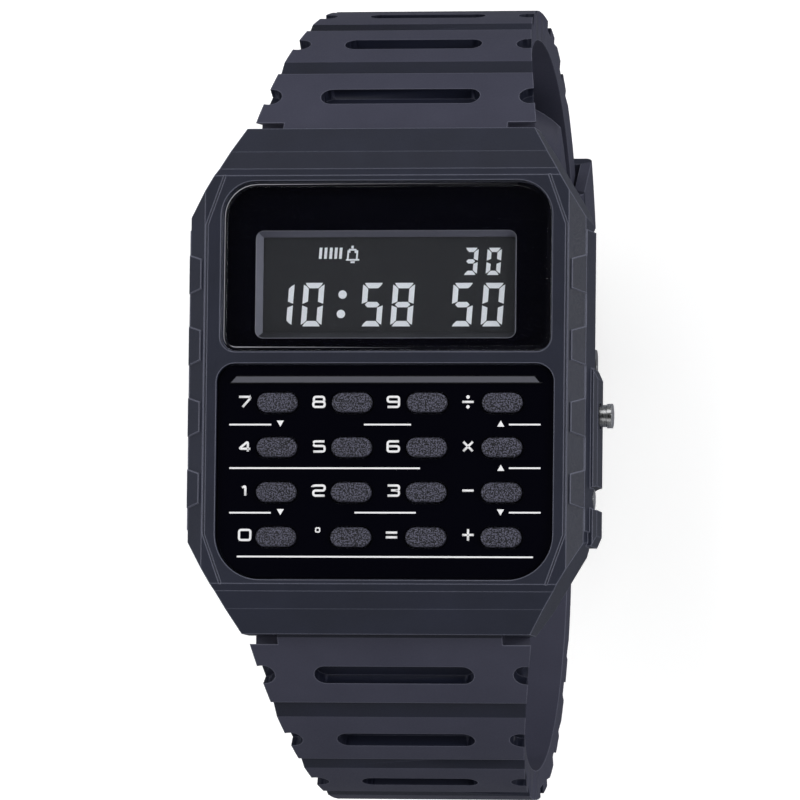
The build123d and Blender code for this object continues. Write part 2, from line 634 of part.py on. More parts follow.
def display_frame():
    """Thin mask under the glass, with a bevelled opening."""
    mask = layer(display_outline(DISPLAY_PLAY), DISPLAY_LEDGE_DEPTH + SEAT_GAP, DISPLAY_FRAME_THICKNESS)
    centre = Pos(0, (APERTURE_LOW + APERTURE_HIGH) / 2)
    height = APERTURE_HIGH - APERTURE_LOW
    top = FACE_Z - DISPLAY_LEDGE_DEPTH - SEAT_GAP
    wide = Plane.XY.offset(top) * centre * Rectangle(APERTURE_WIDTH, height)
    narrow = centre * Rectangle(APERTURE_WIDTH - 2 * APERTURE_BEVEL, height - 2 * APERTURE_BEVEL)
    return mask - loft([wide, Plane.XY.offset(top - DISPLAY_FRAME_THICKNESS) * narrow])


def lcd_panel():
    """Glass sandwich of the display."""
    return layer(display_outline(DISPLAY_PLAY), LCD_TOP_DEPTH, LCD_THICKNESS)


def zebra_connector():
    """Rubber contact strip between the display and the circuit board."""
    outline = Pos(0, ZEBRA_Y) * Rectangle(ZEBRA_LENGTH, ZEBRA_WIDTH)
    return layer(outline, SHELF_TOP_DEPTH, BOARD_DEPTH - SEAT_GAP - SHELF_TOP_DEPTH)


def key_places():
    """Name and centre of each key, row by row."""
    for row in range(KEY_ROWS):
        for column in range(KEY_COLUMNS):
            x = FIRST_KEY_X + column * KEY_PITCH_X
            y = FIRST_KEY_Y - row * KEY_PITCH_Y
            yield KEY_NAMES[row][column], Pos(x, y)


def key_outline(growth):
    """Oblong of a key, grown all round."""
    return SlotOverall(KEY_LENGTH + 2 * growth, KEY_WIDTH + 2 * growth)


def keypad_panel():
    """Glossy panel with a hole for each key and a low ridge at its top."""
    half = KEYPAD_RECESS_HALF - PANE_GAP
    low = KEYPAD_RECESS_LOW + PANE_GAP
    high = KEYPAD_RECESS_HIGH - PANE_GAP
    radii = (KEYPAD_RECESS_RADII[0] - PANE_GAP, KEYPAD_RECESS_RADII[1] - PANE_GAP)
    holes = Sketch() + [place * key_outline(KEY_GAP) for _, place in key_places()]
    sheet = pane(half, low, high, radii) - holes
    panel = layer(sheet, PANEL_SINK, KEYPAD_LEDGE_DEPTH - SEAT_GAP - PANEL_SINK)
    end = PANEL_RIDGE_LENGTH / 2
    ridge = Polygon(
        (-end, PANEL_RIDGE_Y - PANEL_RIDGE_WIDTH / 2),
        (end, PANEL_RIDGE_Y - PANEL_RIDGE_WIDTH / 2),
        (end - PANEL_RIDGE_WIDTH, PANEL_RIDGE_Y + PANEL_RIDGE_WIDTH / 2),
        (-end + PANEL_RIDGE_WIDTH, PANEL_RIDGE_Y + PANEL_RIDGE_WIDTH / 2),
        align=None,
    )
    return panel + layer(ridge, PANEL_SINK - PANEL_RIDGE_HEIGHT, PANEL_RIDGE_HEIGHT)


def key():
    """One key at the origin of X and Y: an oblong cap on a flange that the panel holds down."""
    flange = layer(key_outline(KEY_FLANGE_PROUD), KEYPAD_LEDGE_DEPTH, KEY_FLANGE_THICKNESS)
    cap = layer(key_outline(0), KEY_SINK, KEYPAD_LEDGE_DEPTH - KEY_SINK)
    cap = fillet(cap.faces().sort_by(Axis.Z)[-1].edges(), KEY_EDGE_ROUND)
    return flange + cap


def keypad_membrane():
    """Rubber mat on the circuit board, with a dome under each key."""
    low = -BOARD_HALF_LENGTH
    half = BOARD_HALF_WIDTH
    mat = pane(half, low, MEMBRANE_HIGH, (BOARD_CORNER, MEMBRANE_TOP_RADIUS))
    top_depth = BOARD_DEPTH - SEAT_GAP - MEMBRANE_THICKNESS
    sheet = layer(mat, top_depth, MEMBRANE_THICKNESS)
    foot_z = FACE_Z - top_depth - MEMBRANE_THICKNESS / 2
    height = FACE_Z - DOME_TOP_DEPTH - foot_z
    dome = Pos(0, 0, foot_z + height / 2) * Cone(DOME_FOOT_RADIUS, DOME_TOP_RADIUS, height)
    return sheet + [place * dome for _, place in key_places()]


def board_outline(inset):
    """Outline of the circuit board, drawn in by an inset."""
    width = 2 * (BOARD_HALF_WIDTH - inset)
    return RectangleRounded(width, 2 * (BOARD_HALF_LENGTH - inset), BOARD_CORNER - inset)


def circuit_board():
    """Board that carries the chip, the crystal and the key contacts."""
    return layer(board_outline(0), BOARD_DEPTH, BOARD_THICKNESS)


def module_frame():
    """Plastic frame that holds the display, the board and the battery together."""
    outer = cavity_outline(MODULE_PLAY)
    inner = cavity_outline(MODULE_PLAY + MODULE_WALL)
    top = CEILING_DEPTH + SEAT_GAP
    frame = layer(outer - inner, top, MODULE_BASE_DEPTH - top)
    frame -= layer(display_outline(0), 0, SHELF_TOP_DEPTH)
    end = CAVITY_LENGTH / 2
    shelf = Pos(0, (SHELF_LOW + end) / 2) * Rectangle(CAVITY_WIDTH, end - SHELF_LOW)
    window_y = (SHELF_WINDOW_LOW + SHELF_WINDOW_HIGH) / 2
    window_height = SHELF_WINDOW_HIGH - SHELF_WINDOW_LOW
    window = Pos(0, window_y) * Rectangle(2 * SHELF_WINDOW_HALF, window_height)
    slot_room = 2 * DISPLAY_PLAY
    slot = Pos(0, ZEBRA_Y) * Rectangle(ZEBRA_LENGTH + slot_room, ZEBRA_WIDTH + slot_room / 2)
    frame += layer((shelf & outer) - window - slot, SHELF_TOP_DEPTH, SHELF_THICKNESS)
    cup_radius = BATTERY_DIAMETER / 2 + CUP_PLAY
    cup = Pos(0, BATTERY_Y) * (Circle(cup_radius + CUP_WALL) - Circle(cup_radius))
    arm_length = CAVITY_WIDTH - 2 * MODULE_PLAY - MODULE_WALL
    arms = Pos(0, MODULE_ARM_Y) * Rectangle(arm_length, MODULE_ARM_WIDTH)
    cup += (arms - Pos(0, BATTERY_Y) * Circle(cup_radius)) & outer
    frame += layer(cup & outer, BATTERY_TOP_DEPTH, BATTERY_THICKNESS)
    gap = Rectangle(SWITCH_GAP_LENGTH, SWITCH_GAP_HEIGHT)
    gaps = Pos(MODE_Y, PUSHER_Z) * gap + Pos(ADJUST_Y, PUSHER_Z) * gap
    cut = extrude(Plane.YZ.offset(BOARD_HALF_WIDTH) * gaps, amount=CAVITY_WIDTH)
    return frame - cut


def battery():
    """Coin cell: a can with a slightly smaller lid."""
    low = FACE_Z - BATTERY_TOP_DEPTH - BATTERY_THICKNESS
    can = upright(Circle(BATTERY_DIAMETER / 2), low, low + BATTERY_THICKNESS - BATTERY_STEP)
    lid_radius = BATTERY_DIAMETER / 2 - BATTERY_RIM
    lid = upright(Circle(lid_radius), low, low + BATTERY_THICKNESS)
    return Pos(0, BATTERY_Y) * (can + lid)


def battery_clip():
    """Steel strip that holds the battery down."""
    reach = CAVITY_LENGTH / 2 - MODULE_PLAY - MODULE_WALL / 2
    strip = Pos(0, (BATTERY_DIAMETER / 2 + BATTERY_Y - reach) / 2)
    outline = strip * Rectangle(CLIP_WIDTH, reach + BATTERY_DIAMETER / 2 + BATTERY_Y)
    cross = Pos(0, BATTERY_Y) * Rectangle(BATTERY_DIAMETER, CLIP_WIDTH / 2)
    room = cavity_outline(MODULE_PLAY + MODULE_WALL + SEAT_GAP)
    outline = (outline + cross) & room
    outline -= Pos(0, BATTERY_Y) * Circle(CLIP_HOLE_RADIUS)
    return layer(outline, CLIP_TOP_DEPTH, CLIP_THICKNESS)


def insulator_sheet():
    """Thin film between the battery clip and the case back."""
    outline = board_outline(SHEET_PLAY)
    outline -= Pos(CONTACT_X, CONTACT_Y) * Circle(2 * CONTACT_RADIUS)
    return layer(outline, SHEET_TOP_DEPTH, SHEET_THICKNESS)


def ic_chip():
    """Resin blob over the chip, on the back of the board."""
    top = FACE_Z - BOARD_DEPTH - BOARD_THICKNESS
    blob = upright(Circle(CHIP_RADIUS), top - CHIP_HEIGHT, top)
    blob = fillet(blob.faces().sort_by(Axis.Z)[0].edges(), CHIP_ROUND)
    return Pos(CHIP_X, CHIP_Y) * blob


def crystal():
    """Quartz crystal in its metal can."""
    z = FACE_Z - BOARD_DEPTH - BOARD_THICKNESS - SEAT_GAP - CRYSTAL_DIAMETER / 2
    half = CRYSTAL_LENGTH / 2
    return rod(CRYSTAL_X - half, CRYSTAL_X + half, CRYSTAL_Y, z, CRYSTAL_DIAMETER / 2)


def coil(radius, wire, start, end, turns):
    """Coil spring that runs along Z between two heights."""
    pitch = (end - start - 2 * wire) / turns
    path = Pos(0, 0, start + wire) * Helix(pitch, turns * pitch, radius)
    section = Plane(origin=path @ 0, z_dir=path % 0) * RegularPolygon(wire, SPRING_WIRE_SIDES)
    return sweep(section, path=path, is_frenet=True)


def buzzer_spring():
    """Contact spring from the board to the buzzer."""
    low = BACK_THICKNESS + BUZZER_THICKNESS + 2 * SPRING_END_GAP
    high = FACE_Z - BOARD_DEPTH - BOARD_THICKNESS - SPRING_END_GAP
    wire = coil(CONTACT_RADIUS, SPRING_WIRE_RADIUS, low, high, CONTACT_TURNS)
    return Pos(CONTACT_X, CONTACT_Y) * wire


def buzzer_disc():
    """Piezo disc that lies on the case back."""
    low = BACK_THICKNESS + SPRING_END_GAP
    return Pos(BUZZER_X, BUZZER_Y) * upright(Circle(BUZZER_RADIUS), low, low + BUZZER_THICKNESS)


def case_back():
    """Steel back plate with four countersunk screw seats."""
    half = BACK_WIDTH / 2
    outline = octagon(half, BACK_LENGTH / 2, BACK_STRAIGHT_LENGTH / 2, BACK_END_WIDTH / 2)
    plate = upright(outline, 0, BACK_THICKNESS)
    plate = chamfer(plate.faces().sort_by(Axis.Z)[0].edges(), BACK_CHAMFER)
    seat = upright(Circle(SCREW_HEAD_RADIUS + RUNNING_FIT), 0, SCREW_HEAD_HEIGHT + SEAT_GAP)
    hole = upright(Circle(SCREW_SHAFT_RADIUS + RUNNING_FIT), 0, BACK_THICKNESS)
    return plate - at_screws(seat + hole)


def back_screws():
    """The four screws of the case back."""
    head = upright(Circle(SCREW_HEAD_RADIUS), SEAT_GAP, SEAT_GAP + SCREW_HEAD_HEIGHT)
    shaft = upright(Circle(SCREW_SHAFT_RADIUS - RUNNING_FIT / 2), SEAT_GAP, SCREW_REACH - SEAT_GAP)
    slot = Rectangle(2 * SCREW_HEAD_RADIUS + OVERRUN, SCREW_SLOT_WIDTH)
    screw = head + shaft - upright(slot, 0, SEAT_GAP + SCREW_SLOT_DEPTH)
    return Compound(at_screws(screw))


def back_gasket():
    """Rubber ring between the case and its back."""
    return upright(gasket_ring(RUNNING_FIT / 2), BACK_THICKNESS, BACK_THICKNESS + GASKET_HEIGHT - SEAT_GAP / 2)


def mode_pusher():
    """Proud steel pusher with a collar at its end."""
    shaft = rod(PUSHER_TIP_X, MODE_BACK_X, MODE_Y, PUSHER_Z, PUSHER_SHAFT_RADIUS)
    neck = rod(MODE_BACK_X, MODE_END_X, MODE_Y, PUSHER_Z, MODE_CAP_RADIUS - MODE_COLLAR_STEP)
    collar = rod(MODE_END_X - MODE_COLLAR_LENGTH, MODE_END_X, MODE_Y, PUSHER_Z, MODE_CAP_RADIUS)
    foot = rod(MODE_BACK_X, MODE_BACK_X + MODE_COLLAR_STEP, MODE_Y, PUSHER_Z, MODE_CAP_RADIUS)
    return shaft + neck + collar + foot - pusher_clip_groove(MODE_Y)


def adjust_pusher():
    """Sunk pusher that a pointed tool presses."""
    shaft = rod(PUSHER_TIP_X, ADJUST_BACK_X, ADJUST_Y, PUSHER_Z, PUSHER_SHAFT_RADIUS)
    cap = rod(ADJUST_BACK_X, ADJUST_END_X, ADJUST_Y, PUSHER_Z, ADJUST_CAP_RADIUS)
    return shaft + cap - pusher_clip_groove(ADJUST_Y)


def pusher_clip_place():
    """Where a pusher's clip lies along X."""
    end = CAVITY_WIDTH / 2 - PUSHER_CLIP_GAP
    return end - PUSHER_CLIP_THICKNESS, end


def pusher_clip_groove(y):
    """Groove round a pusher's shaft for its clip."""
    low, high = pusher_clip_place()
    outer = rod(low - SEAT_GAP, high + SEAT_GAP, y, PUSHER_Z, PUSHER_SHAFT_RADIUS + OVERRUN)
    core = rod(low - SEAT_GAP, high + SEAT_GAP, y, PUSHER_Z, PUSHER_SHAFT_RADIUS - PUSHER_CLIP_GAP)
    return outer - core


def pusher_clip(y):
    """Open steel ring that keeps a pusher from leaving the case."""
    low, high = pusher_clip_place()
    inner = PUSHER_SHAFT_RADIUS - PUSHER_CLIP_GAP + RUNNING_FIT / 2
    ring = rod(low, high, y, PUSHER_Z, PUSHER_SHAFT_RADIUS + PUSHER_CLIP_WIDTH)
    ring -= rod(low, high, y, PUSHER_Z, inner)
    mouth_end = PUSHER_Z + OVERRUN + PUSHER_CLIP_WIDTH
    mouth = Pos(y, (PUSHER_Z + mouth_end) / 2) * Rectangle(PUSHER_CLIP_MOUTH, mouth_end - PUSHER_Z)
    return ring - extrude(Plane.YZ.offset(low) * mouth, amount=high - low)


def pusher_gasket(y):
    """Rubber seal in the wall, round a pusher's shaft."""
    outer = rod(SEAL_X, SEAL_X + SEAL_LENGTH, y, PUSHER_Z, PUSHER_SHAFT_RADIUS + SEAL_SECTION)
    return outer - rod(SEAL_X, SEAL_X + SEAL_LENGTH, y, PUSHER_Z, PUSHER_SHAFT_RADIUS + RUNNING_FIT)


def pusher_spring(y, back_x, cap_radius, turns):
    """Coil spring between a pusher's cap and its seat in the wall."""
    radius = (PUSHER_SHAFT_RADIUS + cap_radius) / 2
    start = PUSHER_SEAT_X + SPRING_END_GAP
    wire = coil(radius, SPRING_WIRE_RADIUS, start, back_x - SPRING_END_GAP, turns)
    return Pos(0, y, PUSHER_Z) * Rot(0, 90, 0) * wire


def spring_bar(side):
    """Spring bar under one hood."""
    half = TONGUE_HALF
    reach = TONGUE_HALF + TONGUE_GAP + BAR_TIP_REACH
    body = rod(-half, half, side * HINGE_Y, HINGE_Z, BAR_RADIUS)
    return body + rod(-reach, reach, side * HINGE_Y, HINGE_Z, BAR_TIP_RADIUS)


def turn(run, radius):
    """Angle that a length along an arc takes up."""
    return degrees(run / radius)


def spot(centre_y, radius, angle):
    """Point in Y and Z on an arc of the loop, its angle counted from straight up."""
    return centre_y + radius * sin(radians(angle)), LOOP_Z + radius * cos(radians(angle))


def arc_band(centre_y, outer, first, last):
    """Stretch of strap between two angles of one arc of the loop."""
    inner = outer - STRAP_THICKNESS
    middle = (first + last) / 2
    rims = [
        ThreePointArc(*[spot(centre_y, radius, angle) for angle in (first, middle, last)])
        for radius in (outer, inner)
    ]
    ends = [Line(spot(centre_y, outer, angle), spot(centre_y, inner, angle)) for angle in (first, last)]
    return make_face(Curve() + rims + ends)


def strap_root():
    """The strap's end round its spring bar, drawn in Y and Z for the twelve o'clock side."""
    barrel = Pos(HINGE_Y, HINGE_Z) * Circle(BARREL_RADIUS)
    outer = spot(SIDE_ARC_Y, SIDE_ARC_RADIUS, STRAP_START_ANGLE)
    web_angle = STRAP_START_ANGLE + turn(STRAP_WEB_RUN, SIDE_ARC_RADIUS)
    inner = spot(SIDE_ARC_Y, SIDE_ARC_RADIUS - STRAP_THICKNESS, web_angle)
    return make_hull(barrel.edges() + [Line(outer, inner).edge()])


def outline_from_front(low_z):
    """Strap outline in X and Z: wide at the head, drawn in by a curve, then of one width."""
    top_z = spot(SIDE_ARC_Y, SIDE_ARC_RADIUS, STRAP_START_ANGLE)[1]
    end_z = FACE_Z - TAPER_END_DEPTH
    wide = STRAP_WIDTH_AT_HEAD / 2
    half = STRAP_WIDTH / 2
    taper = Bezier((wide, top_z), (half, (top_z + end_z) / 2), (half, end_z))
    side = Curve() + [Line((wide, FACE_Z), (wide, top_z)), taper, Line((half, end_z), (half, low_z))]
    other = mirror(side, Plane.YZ)
    ends = [Line((-wide, FACE_Z), (wide, FACE_Z)), Line((-half, low_z), (half, low_z))]
    return make_face(side + other + ends)


def strap_half_width(z):
    """Half the strap's width at one height of its taper."""
    top_z = spot(SIDE_ARC_Y, SIDE_ARC_RADIUS, STRAP_START_ANGLE)[1]
    end_z = FACE_Z - TAPER_END_DEPTH
    share = max(0, (z - end_z) / (top_z - end_z))
    return STRAP_WIDTH / 2 + (STRAP_WIDTH_AT_HEAD - STRAP_WIDTH) / 2 * share**2


def shoulder_cuts():
    """Room for the ears: beside the root the strap starts beyond the lip, over a step that reaches in."""

    def corner(start, low_z):
        outer = STRAP_WIDTH_AT_HEAD
        side = Polygon((TONGUE_HALF, 0), (outer, 0), (outer, start), (TONGUE_HALF, start), align=None)
        return upright(side, low_z, FACE_Z)

    cut = corner(HOOD_END_Y + SHOULDER_GAP, FACE_Z - SHOULDER_STEP_DEPTH)
    cut += corner(HOOD_END_Y - SHOULDER_REACH, LOOP_Z)
    return cut + mirror(cut, Plane.YZ)


def surface_plane(centre_y, radius, angle):
    """Plane on the strap's outer face, with its X across the strap."""
    y, z = spot(centre_y, radius, angle)
    normal = (0, sin(radians(angle)), cos(radians(angle)))
    return Plane(origin=(0, y, z), x_dir=(1, 0, 0), z_dir=normal)


def row_cuts(centre_y, radius, angle, length):
    """One row of relief: a long slot and a half-round notch at each edge."""
    plane = surface_plane(centre_y, radius, angle)
    slot = extrude(plane.offset(OVERRUN) * SlotOverall(length, SLOT_WIDTH), amount=-OVERRUN - SLOT_DEPTH)
    edge = strap_half_width(plane.origin.Z) - NOTCH_INSET
    dots = Pos(edge, 0) * Circle(NOTCH_RADIUS) + Pos(-edge, 0) * Circle(NOTCH_RADIUS)
    return slot + extrude(plane.offset(OVERRUN) * dots, amount=-OVERRUN - NOTCH_DEPTH)


def groove_cut(centre_y, radius, angle):
    """Groove across the strap: steep on the side of the head, then rising to the next rib."""
    far = angle + turn(GROOVE_RUN, radius)
    outline = Polygon(
        spot(centre_y, radius + OVERRUN, angle),
        spot(centre_y, radius - GROOVE_DEPTH, angle),
        spot(centre_y, radius, far),
        spot(centre_y, radius + OVERRUN, far),
        align=None,
    )
    return crosswise(outline, STRAP_WIDTH_AT_HEAD)


def side_relief():
    """Slots, notches and grooves on the arc beside the head, for the twelve o'clock side."""
    cuts = []
    for row in range(SIDE_ROWS):
        angle = STRAP_START_ANGLE + turn(FIRST_SLOT_RUN + row * ROW_PITCH, SIDE_ARC_RADIUS)
        cuts.append(row_cuts(SIDE_ARC_Y, SIDE_ARC_RADIUS, angle, SLOT_LENGTHS[row]))
        groove = angle + turn(GROOVE_OFFSET, SIDE_ARC_RADIUS)
        cuts.append(groove_cut(SIDE_ARC_Y, SIDE_ARC_RADIUS, groove))
    return cuts


def base_relief(centre_y, radius, first, count):
    """The same relief further down the strap, on one of its tighter arcs."""
    cuts = []
    for row in range(count):
        angle = first + turn(row * ROW_PITCH, radius)
        cuts.append(row_cuts(centre_y, radius, angle, SLOT_LENGTHS[-1]))
        cuts.append(groove_cut(centre_y, radius, angle + turn(GROOVE_OFFSET, radius)))
    return cuts


def strap_end():
    """Round end of the buckle half, in Y and Z, with the pin's bore left for later."""
    return Pos(PIN_Y, PIN_Z) * Circle(STRAP_END_RADIUS)


def strap_buckle_half():
    """The short half of the strap, at twelve o'clock, which carries the buckle and the keeper."""
    run = BASE_ARC_Y - PIN_Y
    flat = Pos(PIN_Y + run / 2, STRAP_LOW_Z + STRAP_THICKNESS / 2) * Rectangle(run, STRAP_THICKNESS)
    outline = strap_root() + arc_band(SIDE_ARC_Y, SIDE_ARC_RADIUS, STRAP_START_ANGLE, 90)
    outline += arc_band(BASE_ARC_Y, BASE_ARC_RADIUS, 90, 180)
    outline += flat + strap_end()
    outline -= Pos(PIN_Y, PIN_Z) * Circle(PIN_RADIUS + RUNNING_FIT / 2)
    outline -= Pos(HINGE_Y, HINGE_Z) * Circle(BAR_RADIUS + RUNNING_FIT)
    strap = crosswise(outline, STRAP_WIDTH_AT_HEAD / 2)
    strap = strap & lengthwise(outline_from_front(FLOOR_Z), LOOP_HALF_WIDTH + OVERRUN)
    strap -= shoulder_cuts()
    strap -= side_relief()
    strap -= base_relief(BASE_ARC_Y, BASE_ARC_RADIUS, BUCKLE_BASE_ANGLE, BUCKLE_BASE_ROWS)
    half = PRONG_WIDTH / 2 + PRONG_SIDE_GAP
    room = STRAP_END_RADIUS + PRONG_EYE_RADIUS
    mouth = Pos(0, PIN_Y) * Rectangle(2 * half, 2 * PRONG_MOUTH_REACH)
    return strap - upright(mouth, FLOOR_Z - OVERRUN, PIN_Z + room)


def tail_tip():
    """Outline in X and Z that rounds the free end of the tail."""
    half = STRAP_WIDTH / 2
    top = spot(BASE_ARC_Y, TAIL_ARC_RADIUS, TAIL_END_ANGLE)[1]
    shoulder = top - TAIL_TIP_LENGTH
    crown = ThreePointArc((half, shoulder), (0, top), (-half, shoulder))
    sides = Polyline((-half, shoulder), (-half, FLOOR_Z), (half, FLOOR_Z), (half, shoulder))
    return make_face(crown + sides)


def tail_holes():
    """Holes for the buckle's prong along the tail."""
    cuts = []
    step = degrees(HOLE_PITCH / TAIL_ARC_RADIUS)
    for place in range(TAIL_HOLES):
        plane = surface_plane(BASE_ARC_Y, TAIL_ARC_RADIUS, 180 - place * step)
        slot = plane.offset(OVERRUN) * SlotOverall(HOLE_LENGTH, HOLE_WIDTH)
        cuts.append(extrude(slot, amount=-2 * OVERRUN - STRAP_THICKNESS))
    low = STRAP_LOW_Z + TAIL_LIFT
    for place in range(1, FLAT_HOLES):
        slot = Pos(0, BASE_ARC_Y - place * HOLE_PITCH) * SlotOverall(HOLE_LENGTH, HOLE_WIDTH)
        cuts.append(upright(slot, low - OVERRUN, low + STRAP_THICKNESS + OVERRUN))
    return cuts


def strap_hole_half():
    """The long half of the strap, at six o'clock, whose tail lies inside the buckle half."""
    head_side = strap_root() + arc_band(SIDE_ARC_Y, SIDE_ARC_RADIUS, STRAP_START_ANGLE, 90)
    head_side += arc_band(TAIL_ARC_Y, TAIL_ARC_RADIUS, 90, 180)
    head_side -= Pos(HINGE_Y, HINGE_Z) * Circle(BAR_RADIUS + RUNNING_FIT)
    near = crosswise(head_side, STRAP_WIDTH_AT_HEAD / 2)
    near = near & lengthwise(outline_from_front(FLOOR_Z), LOOP_HALF_WIDTH + OVERRUN)
    near -= shoulder_cuts()
    near -= side_relief()
    near -= base_relief(TAIL_ARC_Y, TAIL_ARC_RADIUS, TAIL_BASE_ANGLE, TAIL_BASE_ROWS)
    near = mirror(near, Plane.XZ)
    run = BASE_ARC_Y + TAIL_ARC_Y
    middle = (BASE_ARC_Y - TAIL_ARC_Y) / 2
    flat = Pos(middle, STRAP_LOW_Z + TAIL_LIFT + STRAP_THICKNESS / 2) * Rectangle(run, STRAP_THICKNESS)
    tail = flat + arc_band(BASE_ARC_Y, TAIL_ARC_RADIUS, TAIL_END_ANGLE, 180)
    far = crosswise(tail, STRAP_WIDTH / 2) & lengthwise(tail_tip(), LOOP_HALF_WIDTH)
    return near + far - tail_holes()


def buckle_frame():
    """Bent frame of the buckle, open towards the strap, with a seat for the prong."""
    front = PIN_Y + FRAME_LUG
    middle = (front + FRAME_END_Y) / 2
    outer = Pos(0, middle) * Rectangle(FRAME_WIDTH, front - FRAME_END_Y)
    outer = fillet(outer.vertices().group_by(Axis.Y)[0], FRAME_CORNER)
    bar = FRAME_END_Y + FRAME_BAR
    opening_width = FRAME_WIDTH - 2 * FRAME_ARM
    opening = Pos(0, (front + OVERRUN + bar) / 2) * Rectangle(opening_width, front + OVERRUN - bar)
    frame = upright(outer - opening, FLOOR_Z, FLOOR_Z + FRAME_HEIGHT)
    ends = frame.faces().sort_by(Axis.Y)[-2:].edges().filter_by(Axis.X)
    frame = fillet(ends, FRAME_HEIGHT / 2 - FRAME_EDGE_ROUND)
    notch = Pos(0, FLOOR_Z) * Rectangle(2 * NOTCH_HALF, 2 * (PRONG_LIFT + PRONG_THICKNESS + NOTCH_ROOM))
    frame -= lengthwise(notch, FRAME_WIDTH)
    return frame - rod(-FRAME_WIDTH, FRAME_WIDTH, PIN_Y, PIN_Z, PIN_RADIUS + RUNNING_FIT)


def buckle_pin():
    """Bar that joins the frame to the strap."""
    half = FRAME_WIDTH / 2 - PIN_INSET
    return rod(-half, half, PIN_Y, PIN_Z, PIN_RADIUS)


def buckle_tongue():
    """Prong with an eye round the pin and a nose that lies in the frame's seat."""
    low = FLOOR_Z + PRONG_LIFT
    high = low + PRONG_THICKNESS
    shank = Polygon(
        (PIN_Y, low),
        (PRONG_END_Y + PRONG_NOSE, low),
        (PRONG_END_Y, low + PRONG_NOSE),
        (PRONG_END_Y + PRONG_NOSE, high),
        (PIN_Y, high),
        align=None,
    )
    half = PRONG_WIDTH / 2
    prong = crosswise(shank, half) + rod(-half, half, PIN_Y, PIN_Z, PRONG_EYE_RADIUS)
    return prong - rod(-half, half, PIN_Y, PIN_Z, PIN_RADIUS + RUNNING_FIT)


def strap_keeper():
    """Loop that slides along the buckle half and has room for the tail."""
    inner_strap = BASE_ARC_RADIUS - STRAP_THICKNESS
    hole_low = inner_strap - KEEPER_INNER_GAP
    hole_high = BASE_ARC_RADIUS + KEEPER_ROOM

    def sector(low, high, half):
        middle = (KEEPER_START_ANGLE + KEEPER_END_ANGLE) / 2
        angles = (KEEPER_START_ANGLE, middle, KEEPER_END_ANGLE)
        rims = [ThreePointArc(*[spot(BASE_ARC_Y, radius, angle) for angle in angles]) for radius in (low, high)]
        ends = [
            Line(spot(BASE_ARC_Y, low, angle), spot(BASE_ARC_Y, high, angle))
            for angle in (KEEPER_START_ANGLE, KEEPER_END_ANGLE)
        ]
        return crosswise(make_face(Curve() + rims + ends), half)

    hole_half = STRAP_WIDTH / 2 + KEEPER_SIDE_GAP
    shell = sector(hole_low - KEEPER_WALL, hole_high + KEEPER_WALL, hole_half + KEEPER_SIDE_WALL)
    shell = fillet(shell.edges().filter_by(GeomType.CIRCLE), KEEPER_CORNER)
    return shell - sector(hole_low, hole_high, hole_half)


def all_pieces():
    """Every piece of the watch, by its name."""
    pieces = {
        "case": case(),
        "display_window": display_window(),
        "display_frame": display_frame(),
        "lcd_panel": lcd_panel(),
        "zebra_connector": zebra_connector(),
        "module_frame": module_frame(),
        "circuit_board": circuit_board(),
        "ic_chip": ic_chip(),
        "crystal": crystal(),
        "battery": battery(),
        "battery_clip": battery_clip(),
        "insulator_sheet": insulator_sheet(),
        "keypad_panel": keypad_panel(),
        "keypad_membrane": keypad_membrane(),
        "mode_pusher": mode_pusher(),
        "mode_spring": pusher_spring(MODE_Y, MODE_BACK_X, MODE_CAP_RADIUS, MODE_SPRING_TURNS),
        "mode_gasket": pusher_gasket(MODE_Y),
        "mode_clip": pusher_clip(MODE_Y),
        "adjust_pusher": adjust_pusher(),
        "adjust_spring": pusher_spring(ADJUST_Y, ADJUST_BACK_X, ADJUST_CAP_RADIUS, ADJUST_SPRING_TURNS),
        "adjust_gasket": pusher_gasket(ADJUST_Y),
        "adjust_clip": pusher_clip(ADJUST_Y),
        "case_back": case_back(),
        "back_gasket": back_gasket(),
        "back_screws": back_screws(),
        "buzzer_disc": buzzer_disc(),
        "buzzer_spring": buzzer_spring(),
        "top_spring_bar": spring_bar(1),
        "bottom_spring_bar": spring_bar(-1),
        "strap_buckle_half": strap_buckle_half(),
        "strap_hole_half": strap_hole_half(),
        "buckle_frame": buckle_frame(),
        "buckle_tongue": buckle_tongue(),
        "buckle_pin": buckle_pin(),
        "strap_keeper": strap_keeper(),
    }
    one_key = key()
    for name, place in key_places():
        pieces[name] = place * one_key
    return pieces


def main():
    """Write each piece to its own STEP file."""
    os.makedirs("parts", exist_ok=True)
    for name, piece in all_pieces().items():
        export_step(piece, f"parts/{name}.step")


if __name__ == "__main__":
    main()
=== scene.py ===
"""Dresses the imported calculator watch: finishes, display, printed keypad, strap and studio."""

from __future__ import annotations

import logging
import math
from dataclasses import dataclass
from enum import Enum
from typing import Iterable

import bpy
from mathutils import Matrix, Vector

